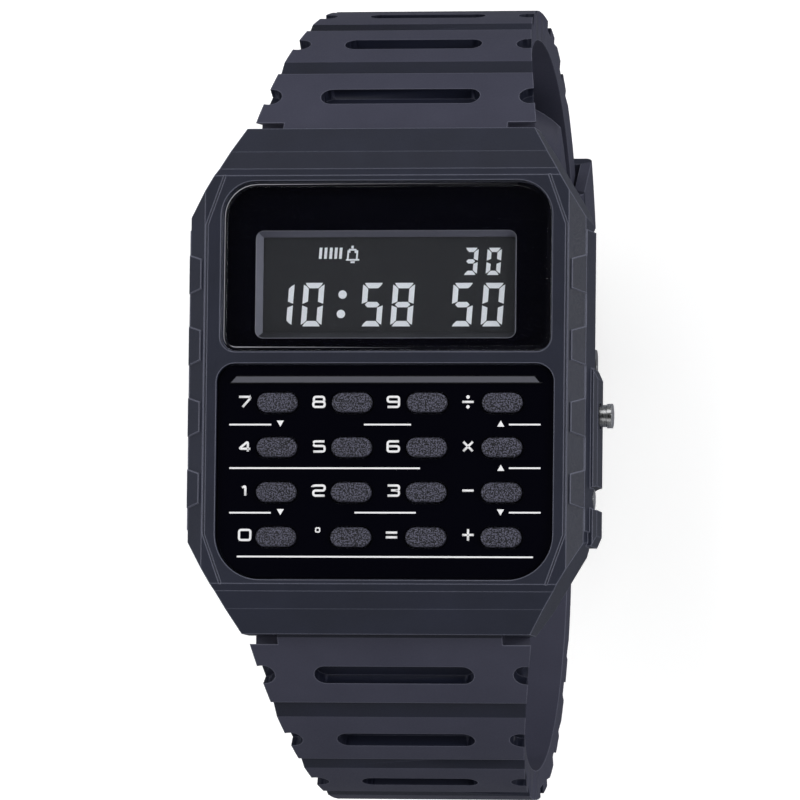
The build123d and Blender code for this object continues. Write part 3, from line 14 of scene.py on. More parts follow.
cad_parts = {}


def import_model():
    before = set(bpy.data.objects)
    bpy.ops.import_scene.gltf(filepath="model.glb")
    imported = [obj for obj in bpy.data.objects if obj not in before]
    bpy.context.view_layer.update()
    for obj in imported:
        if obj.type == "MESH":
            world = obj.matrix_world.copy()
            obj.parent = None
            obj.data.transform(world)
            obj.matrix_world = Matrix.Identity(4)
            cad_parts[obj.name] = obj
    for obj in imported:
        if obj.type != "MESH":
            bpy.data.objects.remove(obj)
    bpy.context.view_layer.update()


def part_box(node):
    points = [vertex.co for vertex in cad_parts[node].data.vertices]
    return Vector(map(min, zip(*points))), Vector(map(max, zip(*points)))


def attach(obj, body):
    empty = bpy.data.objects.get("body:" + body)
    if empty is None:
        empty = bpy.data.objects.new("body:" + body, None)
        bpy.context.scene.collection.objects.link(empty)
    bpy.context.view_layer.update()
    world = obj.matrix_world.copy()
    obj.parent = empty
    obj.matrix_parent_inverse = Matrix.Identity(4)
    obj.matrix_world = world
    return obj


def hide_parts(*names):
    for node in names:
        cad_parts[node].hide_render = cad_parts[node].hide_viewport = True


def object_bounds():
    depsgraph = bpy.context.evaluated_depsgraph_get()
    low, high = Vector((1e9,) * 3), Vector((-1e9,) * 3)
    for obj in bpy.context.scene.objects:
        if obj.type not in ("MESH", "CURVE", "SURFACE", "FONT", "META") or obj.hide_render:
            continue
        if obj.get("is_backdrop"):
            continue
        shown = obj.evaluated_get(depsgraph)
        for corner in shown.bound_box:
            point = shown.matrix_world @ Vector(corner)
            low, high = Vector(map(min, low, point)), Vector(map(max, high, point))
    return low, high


LOG = logging.getLogger("watch")
MM = 0.001
ROOT_BODY = "watch"
STRAP_ARCS = ((-1.1, 36.0), (6.9, 28.0), (11.8, 23.1))  # middle along the watch and radius, in millimetres
STRAP_ARC_Z = -23.7  # height of their middles, in millimetres
NODE_MERGE_MM = 0.0005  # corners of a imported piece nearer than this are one
DRAWING_MERGE_MM = 0.001
RANGE = ("From Min", "From Max", "To Min", "To Max")
NOISE_MIDDLE = (0.3, 0.7)  # nearly all of a noise lies between these
EDGE_RAYS = 6  # rays by which a finish rounds off an edge
CORNER_STEPS = 8  # parts of each corner of an outline
ARTWORK_FLAT_MM = 0.001  # artwork that is flatter than this has no thickness yet

Tree = bpy.types.NodeTree
Socket = bpy.types.NodeSocket
Piece = bpy.types.Object
Feeds = dict[str, Socket | float | tuple[float, ...]]
Path = tuple[Iterable[tuple[float, float]], bool]


def linear(code: str) -> tuple[float, float, float, float]:
    """Turns an sRGB hex colour into linear light.

    Args:
        code: Six hex digits after a hash sign.

    Returns:
        Red, green, blue and an opacity of one.
    """
    shares = [int(code[at:at + 2], 16) / 255 for at in (1, 3, 5)]
    light = [share / 12.92 if share <= 0.04045 else ((share + 0.055) / 1.055) ** 2.4 for share in shares]
    return (light[0], light[1], light[2], 1.0)


def add_node(tree: Tree, kind: str, settings: dict[str, object] | None = None,
             values: dict[str | int, object] | None = None,
             links: dict[str | int, Socket] | None = None) -> bpy.types.Node:
    """Adds one node with its settings, socket values and links.

    Args:
        tree: The node tree that gets the node.
        kind: Blender's name for the node.
        settings: Properties of the node.
        values: Socket values by name or index.
        links: Sockets of other nodes, by the name or index of the input they feed.

    Returns:
        The new node.
    """
    node = tree.nodes.new(kind)
    for name, value in (settings or {}).items():
        setattr(node, name, value)
    for key, value in (values or {}).items():
        node.inputs[key].default_value = value
    for key, socket in (links or {}).items():
        tree.links.new(socket, node.inputs[key])
    return node


@dataclass(frozen=True)
class Finish:
    """What a surface is made of, and how it was made."""

    name: str
    colour: str
    roughness: float
    ior: float = 1.5
    metallic: float = 0.0
    edge_mm: float = 0.08
    gloss: tuple[float, float] = (0.0, 0.0)  # what the roughness gains in hollows and on crests

    def material(self) -> bpy.types.Material:
        """Builds the material once and hands it out after that.

        Returns:
            The material.
        """
        known = bpy.data.materials.get(self.name)
        if known:
            return known
        material = bpy.data.materials.new(self.name)
        material.use_nodes = True
        tree = material.node_tree
        tree.nodes.clear()
        shader = add_node(tree, "ShaderNodeBsdfPrincipled", values={
            "Base Color": linear(self.colour),
            "Roughness": self.roughness,
            "Metallic": self.metallic,
            "IOR": self.ior,
        })
        add_node(tree, "ShaderNodeOutputMaterial", links={"Surface": shader.outputs["BSDF"]})
        edge = add_node(tree, "ShaderNodeBevel", {"samples": EDGE_RAYS}, {"Radius": self.edge_mm * MM})
        for name, feed in self.dress(tree, edge.outputs["Normal"]).items():
            if isinstance(feed, Socket):
                tree.links.new(feed, shader.inputs[name])
            else:
                shader.inputs[name].default_value = feed
        return material

    def dress(self, tree: Tree, edge: Socket) -> Feeds:
        """Adds the pattern of the surface.

        Args:
            tree: The material's nodes.
            edge: Normal with the edges rounded off.

        Returns:
            What each of the shader's inputs gets: a socket or a plain value.
        """
        return {"Normal": edge}

    def pattern(self, tree: Tree, size_mm: float, detail: float = 2.0,
                stretch: tuple[float, float, float] = (1.0, 1.0, 1.0)) -> Socket:
        """Uneven cells of a real size, fixed to the piece.

        Args:
            tree: The material's nodes.
            size_mm: Size of one cell.
            detail: How many finer layers lie over it.
            stretch: How much denser it is along each axis.

        Returns:
            The pattern's strength, between nought and one.
        """
        place = add_node(tree, "ShaderNodeTexCoord").outputs["Object"]
        place = add_node(tree, "ShaderNodeMapping", values={"Scale": stretch}, links={"Vector": place})
        cells = add_node(tree, "ShaderNodeTexNoise", values={"Scale": 1 / (size_mm * MM), "Detail": detail},
                         links={"Vector": place.outputs["Vector"]})
        return cells.outputs["Fac"]

    def shade(self, tree: Tree, strength: Socket, colours: tuple[str | Socket, str | Socket],
              ends: tuple[float, float] = (0.0, 1.0), shares: tuple[float, float] = (0.0, 1.0)) -> Socket:
        """Turns from one colour to another as a strength rises.

        Args:
            tree: The material's nodes.
            strength: The strength.
            colours: Both colours, each a hex colour or a socket.
            ends: The strength where the turn starts and where it ends.
            shares: How much of the second colour shows there.

        Returns:
            The colour.
        """
        share = add_node(tree, "ShaderNodeMapRange", values=dict(zip(RANGE, (*ends, *shares))),
                         links={"Value": strength})
        places = dict(zip((6, 7), colours))
        values = {key: linear(colour) for key, colour in places.items() if isinstance(colour, str)}
        links = {key: colour for key, colour in places.items() if key not in values}
        links[0] = share.outputs["Result"]
        mix = add_node(tree, "ShaderNodeMix", {"data_type": "RGBA"}, values, links)
        return mix.outputs[2]

    def relief(self, tree: Tree, edge: Socket, height: Socket, depth_mm: float,
               marks: Socket | None = None) -> Feeds:
        """Gives a pattern its real depth, and its hollows and crests their own gloss.

        Args:
            tree: The material's nodes.
            edge: Normal with the edges rounded off.
            height: The pattern.
            depth_mm: Its depth.
            marks: Another pattern for the gloss.

        Returns:
            Roughness and normal.
        """
        ends = (*NOISE_MIDDLE, *(self.roughness + gain for gain in self.gloss))
        rough = add_node(tree, "ShaderNodeMapRange", values=dict(zip(RANGE, ends)),
                         links={"Value": marks or height})
        raised = add_node(tree, "ShaderNodeBump", values={"Strength": 1.0, "Distance": depth_mm * MM},
                          links={"Height": height, "Normal": edge})
        return {"Roughness": rough.outputs["Result"], "Normal": raised.outputs["Normal"]}


@dataclass(frozen=True)
class MouldedResin(Finish):
    """Resin from an eroded steel mould: a fine even grain, and a painted highlight along its rounded edges.
    """

    tint: str = "#1e2330"
    # pale colour of a painted highlight on rounded edges, how much of it shows, and the bends where it shows
    edge_highlight: str = "#8f92a6"
    grain_mm: float = 0.12  # coarser than real mould grain, so that it shows
    grain_depth_mm: float = 0.008
    cloud_grains: float = 30.0
    highlight_share: float = 0.5
    highlight_bends: tuple[float, float] = (0.9985, 0.96)
    gloss: tuple[float, float] = (-0.05, 0.07)

    def dress(self, tree: Tree, edge: Socket) -> Feeds:
        """Adds clouded colour, mould grain and a painted highlight along the edges.

        Args:
            tree: The material's nodes.
            edge: Normal with the edges rounded off.

        Returns:
            What each of the shader's inputs gets.
        """
        cloud = self.pattern(tree, self.cloud_grains * self.grain_mm)
        body = self.shade(tree, cloud, (self.colour, self.tint), NOISE_MIDDLE)
        flat = add_node(tree, "ShaderNodeNewGeometry").outputs["Normal"]
        bend = add_node(tree, "ShaderNodeVectorMath", {"operation": "DOT_PRODUCT"}, links={0: edge, 1: flat})
        # painted highlight where the rounded edge bends away from the flat face
        highlit = self.shade(tree, bend.outputs["Value"], (body, self.edge_highlight), self.highlight_bends,
                          (0.0, self.highlight_share))
        grain = self.pattern(tree, self.grain_mm)
        return {"Base Color": highlit, **self.relief(tree, edge, grain, self.grain_depth_mm)}


@dataclass(frozen=True)
class MouldedMask(MouldedResin):
    """Moulded mask with painted shade on its base slope, so that only its front edge shows under the digits.
    """

    # painted shade on the base slope, which faces twelve o'clock
    ink: str = "#2b2c30"
    slope: tuple[float, float] = (0.3, 0.31)

    def dress(self, tree: Tree, edge: Socket) -> Feeds:
        """Paints shade on the slope that faces twelve o'clock.

        Args:
            tree: The material's nodes.
            edge: Normal with the edges rounded off.

        Returns:
            What each of the shader's inputs gets.
        """
        feeds = super().dress(tree, edge)
        facing = add_node(tree, "ShaderNodeTexCoord").outputs["Normal"]
        parts = add_node(tree, "ShaderNodeSeparateXYZ", links={"Vector": facing})
        colours = (feeds["Base Color"], self.ink)
        return {**feeds, "Base Color": self.shade(tree, parts.outputs["Y"], colours, self.slope)}


@dataclass(frozen=True)
class SparkEroded(Finish):
    """Resin from a spark-eroded mould: coarse pits that speckle, and a rim that shines a little."""

    speck: str = "#565668"
    shares: tuple[float, float] = (-0.9, 1.6)
    pit_mm: float = 0.12
    pit_depth_mm: float = 0.03
    gloss: tuple[float, float] = (0.0, -0.12)

    def dress(self, tree: Tree, edge: Socket) -> Feeds:
        """Adds the speckle in colour, height and gloss.

        Args:
            tree: The material's nodes.
            edge: Normal with the edges rounded off.

        Returns:
            What each of the shader's inputs gets.
        """
        pits = self.pattern(tree, self.pit_mm, detail=1.0)
        speckled = self.shade(tree, pits, (self.colour, self.speck), NOISE_MIDDLE, self.shares)
        return {"Base Color": speckled, **self.relief(tree, edge, pits, self.pit_depth_mm)}


@dataclass(frozen=True)
class GroundEdge(Finish):
    """Bevel ground on the glass: frosted, with a painted highlight where it faces left and twelve o'clock and
    painted shade elsewhere.
    """

    # painted shade on the sides that face away from the lamps
    shadow: str = "#0c0c12"
    frost: str = "#d0d0d8"
    frost_mm: float = 0.3
    # the way the painted highlight faces: left and towards twelve o'clock
    facing: tuple[float, float, float] = (-0.75, 0.66, 0.0)
    fade: tuple[float, float] = (0.05, 0.3)
    shine: float = 0.1
    gloss: tuple[float, float] = (0.0, 0.1)

    def dress(self, tree: Tree, edge: Socket) -> Feeds:
        """Paints the highlight and the shade by the way the bevel faces.

        Args:
            tree: The material's nodes.
            edge: Normal with the edges rounded off.

        Returns:
            What each of the shader's inputs gets.
        """
        flat = add_node(tree, "ShaderNodeTexCoord").outputs["Normal"]
        turn = add_node(tree, "ShaderNodeVectorMath", {"operation": "DOT_PRODUCT"}, {1: self.facing},
                        {0: flat})
        frost = self.pattern(tree, self.frost_mm)
        pale = self.shade(tree, frost, (self.colour, self.frost))
        return {
            # painted highlight where the bevel faces the lamps, painted shade elsewhere
            "Base Color": self.shade(tree, turn.outputs["Value"], (self.shadow, pale), self.fade),
            "Roughness": self.relief(tree, edge, frost, 0.0)["Roughness"],
            "Specular IOR Level": self.shine,
        }


@dataclass(frozen=True)
class PolishedPlastic(Finish):
    """Plastic from a polished mould: gloss with a faint wave and a few fine hair marks."""

    tint: str = "#07070f"
    wave_mm: float = 9.0
    wave_depth_mm: float = 0.004
    hair_mm: float = 0.6
    hair_stretch: tuple[float, float, float] = (1.0, 9.0, 1.0)
    gloss: tuple[float, float] = (0.0, 0.04)

    def dress(self, tree: Tree, edge: Socket) -> Feeds:
        """Adds a slow wave to the gloss and a slight change of depth to the colour.

        Args:
            tree: The material's nodes.
            edge: Normal with the edges rounded off.

        Returns:
            What each of the shader's inputs gets.
        """
        wave = self.pattern(tree, self.wave_mm, detail=1.0)
        hair = self.pattern(tree, self.hair_mm, stretch=self.hair_stretch)
        feeds = self.relief(tree, edge, wave, self.wave_depth_mm, marks=hair)
        return {"Base Color": self.shade(tree, wave, (self.colour, self.tint)), **feeds}


@dataclass(frozen=True)
class WorkedMetal(Finish):
    """Metal with the marks of its last tool: brushed along one axis, turned or rolled."""

    tint: str = "#8d8e90"
    line_mm: float = 0.08  # coarser than real tool lines, so that they show
    line_depth_mm: float = 0.0015
    along: tuple[float, float, float] = (1.0, 0.03, 1.0)
    gloss: tuple[float, float] = (-0.06, 0.08)

    def dress(self, tree: Tree, edge: Socket) -> Feeds:
        """Adds tool lines in height, gloss and colour.

        Args:
            tree: The material's nodes.
            edge: Normal with the edges rounded off.

        Returns:
            What each of the shader's inputs gets.
        """
        lines = self.pattern(tree, self.line_mm, detail=3.0, stretch=self.along)
        lined = self.shade(tree, lines, (self.tint, self.colour))
        return {"Base Color": lined, **self.relief(tree, edge, lines, self.line_depth_mm)}


@dataclass(frozen=True)
class TintedGlass(Finish):
    """Clear pane with a faint grey tint, polished on both faces, with a trace of wipe marks."""

    smear_mm: float = 4.0
    smear_depth_mm: float = 0.0
    smear_stretch: tuple[float, float, float] = (1.0, 3.0, 1.0)
    gloss: tuple[float, float] = (-0.04, 0.0)

    def dress(self, tree: Tree, edge: Socket) -> Feeds:
        """Lets light through, and blurs it a little along the wipe marks.

        Args:
            tree: The material's nodes.
            edge: Normal with the edges rounded off.

        Returns:
            What each of the shader's inputs gets.
        """
        smear = self.pattern(tree, self.smear_mm, stretch=self.smear_stretch)
        feeds = self.relief(tree, edge, smear, self.smear_depth_mm)
        return {"Transmission Weight": 1.0, **feeds}


@dataclass(frozen=True)
class PrintedInk(Finish):
    """Ink or a lit crystal: an even matt film with a slightly mottled edge, and for the crystal a painted
    glow.
    """

    tint: str = "#ffffff"
    # painted glow: the part is no lamp
    painted_glow: float = 0.0
    mottle_mm: float = 0.15

    def dress(self, tree: Tree, edge: Socket) -> Feeds:
        """Adds the mottle of thin ink, and the painted glow.

        Args:
            tree: The material's nodes.
            edge: Normal with the edges rounded off.

        Returns:
            What each of the shader's inputs gets.
        """
        return {
            "Base Color": self.shade(tree, self.pattern(tree, self.mottle_mm), (self.colour, self.tint)),
            "Emission Color": linear(self.colour),
            "Emission Strength": self.painted_glow,
        }


class Palette(Enum):
    """Every finish on the watch, by the real material and how it was made."""

    # ABS resin moulded with a fine grain: dark blue grey, satin, soft highlights along its edges
    CASE = MouldedResin("moulded_case_resin", "#151a2d", 0.52, tint="#191e32", edge_mm=0.14)
    # Soft urethane moulded with a coarser grain: warmer grey that scatters more light
    STRAP = MouldedResin("moulded_strap_urethane", "#353648", 0.66, tint="#393a4c", edge_highlight="#76788a",
                         grain_mm=0.14, grain_depth_mm=0.006, edge_mm=0.16, highlight_share=0.5)
    # The same urethane in grooves and slots, where the mould was polished: a soft shine, and darker with
    # painted shade
    STRAP_GROOVE = MouldedResin("strap_groove_painted_shade", "#0f1428", 0.6, tint="#12172d", edge_highlight="#4a4c62",
                                grain_depth_mm=0.002, edge_mm=0.12, highlight_share=0.35)
    # Key caps from a spark-eroded mould: coarse speckle, no shine
    KEY = SparkEroded("spark_eroded_key_resin", "#05050f", 0.6, edge_mm=0.1)
    # Polycarbonate with black paint behind it: deep gloss, nearly black
    PANEL = PolishedPlastic("back_painted_panel", "#030309", 0.08, tint="#05050c", edge_mm=0.1)
    # Float glass: clear, with bright ground edges
    WINDOW = TintedGlass("ground_window_glass", "#f2f4f8", 0.04, edge_mm=0.05)
    # The bevel round the glass, ground and left frosted: a thin pale line, a painted highlight on the side
    # that faces the lamps
    WINDOW_BEVEL = GroundEdge("glass_bevel_frost_and_highlight", "#b4b4be", 0.4)
    # Black screen print behind the glass: flat and dark
    WINDOW_PRINT = PolishedPlastic("screen_printed_black", "#020206", 0.08, tint="#04040a")
    # Moulded mask round the display: mid grey, satin, with painted shade on its base slope
    MASK = MouldedMask("moulded_display_mask", "#62626e", 0.5, tint="#5e5e6a", edge_highlight="#7e7e88", edge_mm=0.05)
    # The mask's front edge: a painted highlight, a thin paler line round the display
    MASK_RIM = MouldedResin("mask_edge_painted_highlight", "#84848e", 0.4, tint="#8a8a94", edge_highlight="#9a9aa2",
                            edge_mm=0.02)
    # Polariser over liquid crystal: dark grey with a soft sheen
    CRYSTAL_GLASS = PolishedPlastic("liquid_crystal_polariser", "#26272a", 0.4, tint="#28292c")
    # Lit segments of a reversed display: pale grey, even, with a painted glow though nothing lights them
    SEGMENT = PrintedInk("lit_display_segment", "#dfe2e4", 0.6, tint="#e8ebed", painted_glow=0.2)
    # White screen-printing ink on the panel
    INK = PrintedInk("white_screen_ink", "#e8e8ea", 0.55, tint="#f2f2f4")
    # Grey painted highlight on the panel's ridge
    RIDGE_PAINT = PrintedInk("ridge_painted_highlight", "#4a4b54", 0.45, tint="#52535c")
    # Stainless steel turned on a lathe
    TURNED_STEEL = WorkedMetal("turned_stainless_steel", "#e4e5e6", 0.28, metallic=1.0, along=(1.0, 0.1, 0.1))
    # Stainless steel brushed along the watch
    BRUSHED_STEEL = WorkedMetal("brushed_stainless_steel", "#c6c8ca", 0.32, metallic=1.0, edge_mm=0.12)
    # Sheet steel with bright nickel over it
    NICKEL = WorkedMetal("nickel_plated_steel", "#d8d5cc", 0.16, metallic=1.0, tint="#b9b6ae")
    # Brass sheet as it left the rolls
    BRASS = WorkedMetal("rolled_brass", "#c9a458", 0.26, metallic=1.0, tint="#b08c45")
    # Black moulded module frame, silicone membrane, nitrile seals, glass fibre board, cast resin and film
    MODULE = MouldedResin("moulded_module_plastic", "#1b1c1f", 0.5, tint="#202124", edge_highlight="#303136")
    MEMBRANE = MouldedResin("moulded_silicone", "#76777a", 0.6, tint="#7d7e81", edge_highlight="#8a8b8e")
    SEAL = MouldedResin("moulded_nitrile_rubber", "#121214", 0.6, tint="#18181a", edge_highlight="#242426")
    BOARD = PolishedPlastic("glass_fibre_board", "#1d4a2b", 0.35, tint="#235433", wave_mm=2.0)
    CAST = PolishedPlastic("cast_epoxy", "#0d0d0f", 0.22, tint="#141416", wave_mm=1.5)
    FILM = PolishedPlastic("amber_film", "#b69b54", 0.3, tint="#c0a55e", wave_mm=3.0)


NODE_FINISHES = {
    Palette.CASE: ("case",),
    Palette.STRAP: ("strap_buckle_half", "strap_hole_half", "strap_keeper"),
    Palette.PANEL: ("keypad_panel",),
    Palette.WINDOW: ("display_window",),
    Palette.MASK: ("display_frame",),
    Palette.CRYSTAL_GLASS: ("lcd_panel",),
    Palette.TURNED_STEEL: ("mode_pusher", "adjust_pusher", "back_screws"),
    Palette.BRUSHED_STEEL: ("case_back", "buckle_frame", "buckle_tongue", "buckle_pin", "battery_clip",
                            "top_spring_bar", "bottom_spring_bar", "mode_clip", "adjust_clip"),
    Palette.NICKEL: ("battery", "crystal", "mode_spring", "adjust_spring", "buzzer_spring"),
    Palette.BRASS: ("buzzer_disc",),
    Palette.MODULE: ("module_frame",),
    Palette.MEMBRANE: ("keypad_membrane",),
    Palette.SEAL: ("zebra_connector", "mode_gasket", "adjust_gasket", "back_gasket"),
    Palette.BOARD: ("circuit_board",),
    Palette.CAST: ("ic_chip",),
    Palette.FILM: ("insulator_sheet",),
}


def deselect_all() -> None:
    """Leaves nothing selected and nothing in edit mode."""
    if bpy.context.object and bpy.context.object.mode != "OBJECT":
        bpy.ops.object.mode_set(mode="OBJECT")
    bpy.ops.object.select_all(action="DESELECT")


def pick(*objects: Piece) -> None:
    """Selects these objects and makes the first one active.

    Args:
        objects: The objects.
    """
    deselect_all()
    for item in objects:
        item.select_set(True)
    bpy.context.view_layer.objects.active = objects[0]


def placed(name: str, data: bpy.types.ID) -> Piece:
    """Puts a new object in the scene.

    Args:
        name: The object's name.
        data: Its mesh, curve, camera or lamp.

    Returns:
        The object.
    """
    piece = bpy.data.objects.new(name, data)
    bpy.context.scene.collection.objects.link(piece)
    return piece


def joined(parts: Iterable[Piece], name: str) -> Piece:
    """Makes one named object of several, with its place in its mesh.

    Args:
        parts: The objects, of which the first gives the material slots.
        name: The new name.

    Returns:
        The joined object.
    """
    parts = list(parts)
    pick(*parts)
    if len(parts) > 1:
        bpy.ops.object.join()
    bpy.ops.object.transform_apply(location=True, rotation=True, scale=True)
    whole = bpy.context.object
    whole.name = name
    whole.data.name = name
    return whole


def merge(piece: Piece, merge_mm: float, turn_outwards: bool) -> None:
    """Closes the seams of a piece.

    Args:
        piece: The piece.
        merge_mm: Points nearer than this become one.
        turn_outwards: Whether its faces are then turned outwards.
    """
    pick(piece)
    bpy.ops.object.mode_set(mode="EDIT")
    bpy.ops.mesh.select_all(action="SELECT")
    bpy.ops.mesh.remove_doubles(threshold=merge_mm * MM)
    if turn_outwards:
        bpy.ops.mesh.normals_make_consistent(inside=False)
    bpy.ops.object.mode_set(mode="OBJECT")


def thicken(piece: Piece, depth_mm: float, offset: float) -> None:
    """Gives a flat piece its thickness.

    Args:
        piece: The piece.
        depth_mm: Its thickness.
        offset: One to grow upwards, minus one to grow downwards.
    """
    thick = piece.modifiers.new("thickness", "SOLIDIFY")
    thick.thickness = depth_mm * MM
    thick.offset = offset
    pick(piece)
    bpy.ops.object.modifier_apply(modifier=thick.name)


def leaning(share: float) -> Matrix:
    """Leans a shape to the right by a share of its height."""
    return Matrix(((1, share, 0, 0), (0, 1, 0, 0), (0, 0, 1, 0), (0, 0, 0, 1)))


def paint(piece: Piece, finish: Palette) -> None:
    """Gives every material slot of a piece one finish.

    Args:
        piece: The piece.
        finish: The finish.
    """
    material = finish.value.material()
    if not piece.material_slots:
        piece.data.materials.append(material)
    for place in piece.material_slots:
        place.material = material


def install(piece: Piece, body: str, finish: Palette) -> None:
    """Paints a new piece and lets it ride.

    Args:
        piece: The piece, in its place.
        body: The body that it moves with.
        finish: Its finish.
    """
    paint(piece, finish)
    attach(piece, body)
    LOG.info("%s: %d faces, on %s", piece.name, len(piece.data.polygons), body)


@dataclass(frozen=True)
class Arcs:
    """Round stretches of the strap: how far from the middle each is centred, and its outer radius."""

    places: tuple[tuple[float, float], ...]
    height_mm: float
    match_mm: float = 0.006
    thick_mm: float = 2.7
    along_arc: float = 0.99
    floor_facing: float = 0.9
    wall_facing: float = 0.5
    side_facing: float = 0.995
    groove_mm: tuple[float, float] = (0.08, 2.2)
    slot_mm: float = 1.25

    def spokes(self, face: bpy.types.MeshPolygon, mesh: bpy.types.Mesh) -> tuple[list[Vector], Vector, float]:
        """Measures a face from the middle of the stretch that it lies on.

        Args:
            face: The face.
            mesh: The piece's mesh.

        Returns:
            The spoke to each corner, the spoke to the face's middle, and the stretch's outer radius.
        """
        along = abs(face.center.y) / MM
        corners = [mesh.vertices[at].co for at in face.vertices]
        fits: list[tuple[float, list[Vector], Vector, float]] = []
        for middle, radius in self.places[:1] if face.center.z > self.height_mm * MM else self.places[1:]:
            hub = Vector((0, math.copysign(1, face.center.y) * min(along, middle), self.height_mm)) * MM
            spokes = [Vector((0, spot.y, spot.z)) - hub for spot in corners]
            reach = [spoke.length for spoke in spokes]
            mean = Vector((0, face.center.y, face.center.z)) - hub
            level = max(reach) - min(reach) < self.match_mm * MM
            near = -1.0 if level else float(radius - mean.length / MM > self.thick_mm)
            fits.append((near, spokes, mean, radius))
        return min(fits, key=lambda fit: fit[0])[1:]

    def normals(self, mesh: bpy.types.Mesh) -> tuple[dict[int, Vector], set[int]]:
        """Finds the faces on the round stretches, and the true normal at each of their corners.

        Args:
            mesh: The piece's mesh.

        Returns:
            The normal by corner, for corners on a round stretch, and the faces of grooves and slots.
        """
        found: dict[int, Vector] = {}
        sunk: set[int] = set()
        for face in mesh.polygons:
            spokes, mean, radius = self.spokes(face, mesh)
            reach = [spoke.length / MM for spoke in spokes]
            facing = mean.normalized().dot(face.normal)
            if max(reach) - min(reach) < self.match_mm and abs(facing) > self.along_arc:
                for corner, spoke in zip(face.loop_indices, spokes):
                    found[corner] = spoke.normalized() * math.copysign(1, facing)
            depth = radius - mean.length / MM
            floor = facing > self.floor_facing and self.groove_mm[0] < depth < self.groove_mm[1]
            wall = abs(facing) < self.wall_facing and abs(face.normal.x) < self.side_facing
            if floor or (wall and radius - min(reach) < self.slot_mm):
                sunk.add(face.index)
        return found, sunk


def smooth_copy(node: str, name: str, arcs: Arcs, angle_deg: float = 28.0) -> Piece:
    """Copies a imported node's mesh, closes its seams and smooths its curved faces.

    Args:
        node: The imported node.
        name: The copy's name.
        arcs: The piece's round stretches, which get their true normals.
        angle_deg: Edges sharper than this stay sharp.

    Returns:
        The copy, at the origin.
    """
    copy = placed(name, bpy.data.objects[node].data.copy())
    merge(copy, NODE_MERGE_MM, turn_outwards=False)
    mesh = copy.data
    true, sunk = arcs.normals(mesh)
    # faces in grooves and slots take the second material slot, which gets painted shade
    for face in mesh.polygons:
        face.material_index = int(face.index in sunk)
    round_faces = {face.index for face in mesh.polygons if face.loop_start in true}
    sides: dict[tuple[int, int], set[bool]] = {}
    for face in mesh.polygons:
        for key in face.edge_keys:
            sides.setdefault(key, set()).add(face.index in round_faces)
    for edge in mesh.edges:
        edge.use_edge_sharp = len(sides.get(edge.key, ())) > 1
    bpy.ops.object.shade_smooth_by_angle(angle=math.radians(angle_deg))
    mesh.normals_split_custom_set([true.get(at, corner.vector)
                                   for at, corner in enumerate(mesh.corner_normals)])
    LOG.info("%s: %d of %d faces on arcs, %d in grooves", name, len(round_faces), len(mesh.polygons),
             len(sunk))
    return copy


@dataclass
class SmoothedNodes:
    """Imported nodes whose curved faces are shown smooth, each by a refined copy."""

    places: tuple[tuple[str, str, str, Palette, str], ...]
    arcs: Arcs
    # finish of the grooves and slots, darker with painted shade
    sunk: Palette

    def build(self) -> None:
        """Copies, paints and installs each one."""
        for node, name, body, finish, slot in self.places:
            piece = smooth_copy(node, name, self.arcs)
            install(piece, body, finish)
            # second slot: painted shade in the grooves and slots
            piece.data.materials.append(self.sunk.value.material())
            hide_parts(node)


class Segment(Enum):
    """The seven bars of a digit: their ends, across and up in half digits."""

    TOP = ((-1.0, 1.0), (1.0, 1.0))
    UPPER_RIGHT = ((1.0, 1.0), (1.0, 0.0))
    LOWER_RIGHT = ((1.0, 0.0), (1.0, -1.0))
    BASE = ((1.0, -1.0), (-1.0, -1.0))
    LOWER_LEFT = ((-1.0, -1.0), (-1.0, 0.0))
    UPPER_LEFT = ((-1.0, 0.0), (-1.0, 1.0))
    MIDDLE = ((-1.0, 0.0), (1.0, 0.0))


# corners of a lit bar, in half lengths and half widths from its middle
HEXAGON = ((1, 0), (1, 1), (-1, 1), (-1, 0), (-1, -1), (1, -1))

LIT = {
    "0": (Segment.TOP, Segment.UPPER_RIGHT, Segment.LOWER_RIGHT, Segment.BASE, Segment.LOWER_LEFT,
          Segment.UPPER_LEFT),
    "1": (Segment.UPPER_RIGHT, Segment.LOWER_RIGHT),
    "3": (Segment.TOP, Segment.UPPER_RIGHT, Segment.MIDDLE, Segment.LOWER_RIGHT, Segment.BASE),
    "5": (Segment.TOP, Segment.UPPER_LEFT, Segment.MIDDLE, Segment.LOWER_RIGHT, Segment.BASE),
    "8": tuple(Segment),
}


def flat_bar(spot: Vector, length: float, width: float, lean: float = 0.0) -> Piece:
    """One flat bar.

    Args:
        spot: Its middle, in millimetres.
        length: Its size along X, in millimetres.
        width: Its size along Y, in millimetres.
        lean: How far it leans to the right, as a share of its height.

    Returns:
        The bar.
    """
    deselect_all()
    bpy.ops.mesh.primitive_plane_add(size=1)
    piece = bpy.context.object
    size = Matrix.Diagonal((length * MM, width * MM, 1, 1))
    place = Matrix.Translation((spot.x * MM, spot.y * MM, 0))
    piece.data.transform(place @ leaning(lean) @ size)
    return piece


def drawing(paths: Iterable[Path], name: str, settings: dict, last_share: float = 1.0) -> Piece:
    """Draws paths on the origin's plane and makes them a closed mesh.

    Args:
        paths: Points of each path in millimetres, and whether it is closed.
        name: The mesh's name.
        settings: Properties of the curve, which give it its body.
        last_share: Width at each path's last point, as a share of the width.

    Returns:
        The drawing.
    """
    deselect_all()
    curve = bpy.data.curves.new(name, "CURVE")
    for key, value in settings.items():
        setattr(curve, key, value)
    for points, closed in paths:
        spline = curve.splines.new("POLY")
        spots = list(points)
        spline.points.add(len(spots) - 1)
        for point, (x, y) in zip(spline.points, spots):
            point.co = (x * MM, y * MM, 0, 1)
        spline.points[-1].radius = last_share
        spline.use_cyclic_u = closed
    piece = placed(name, curve)
    pick(piece)
    bpy.ops.object.convert(target="MESH")
    merge(piece, DRAWING_MERGE_MM, turn_outwards=True)
    return piece


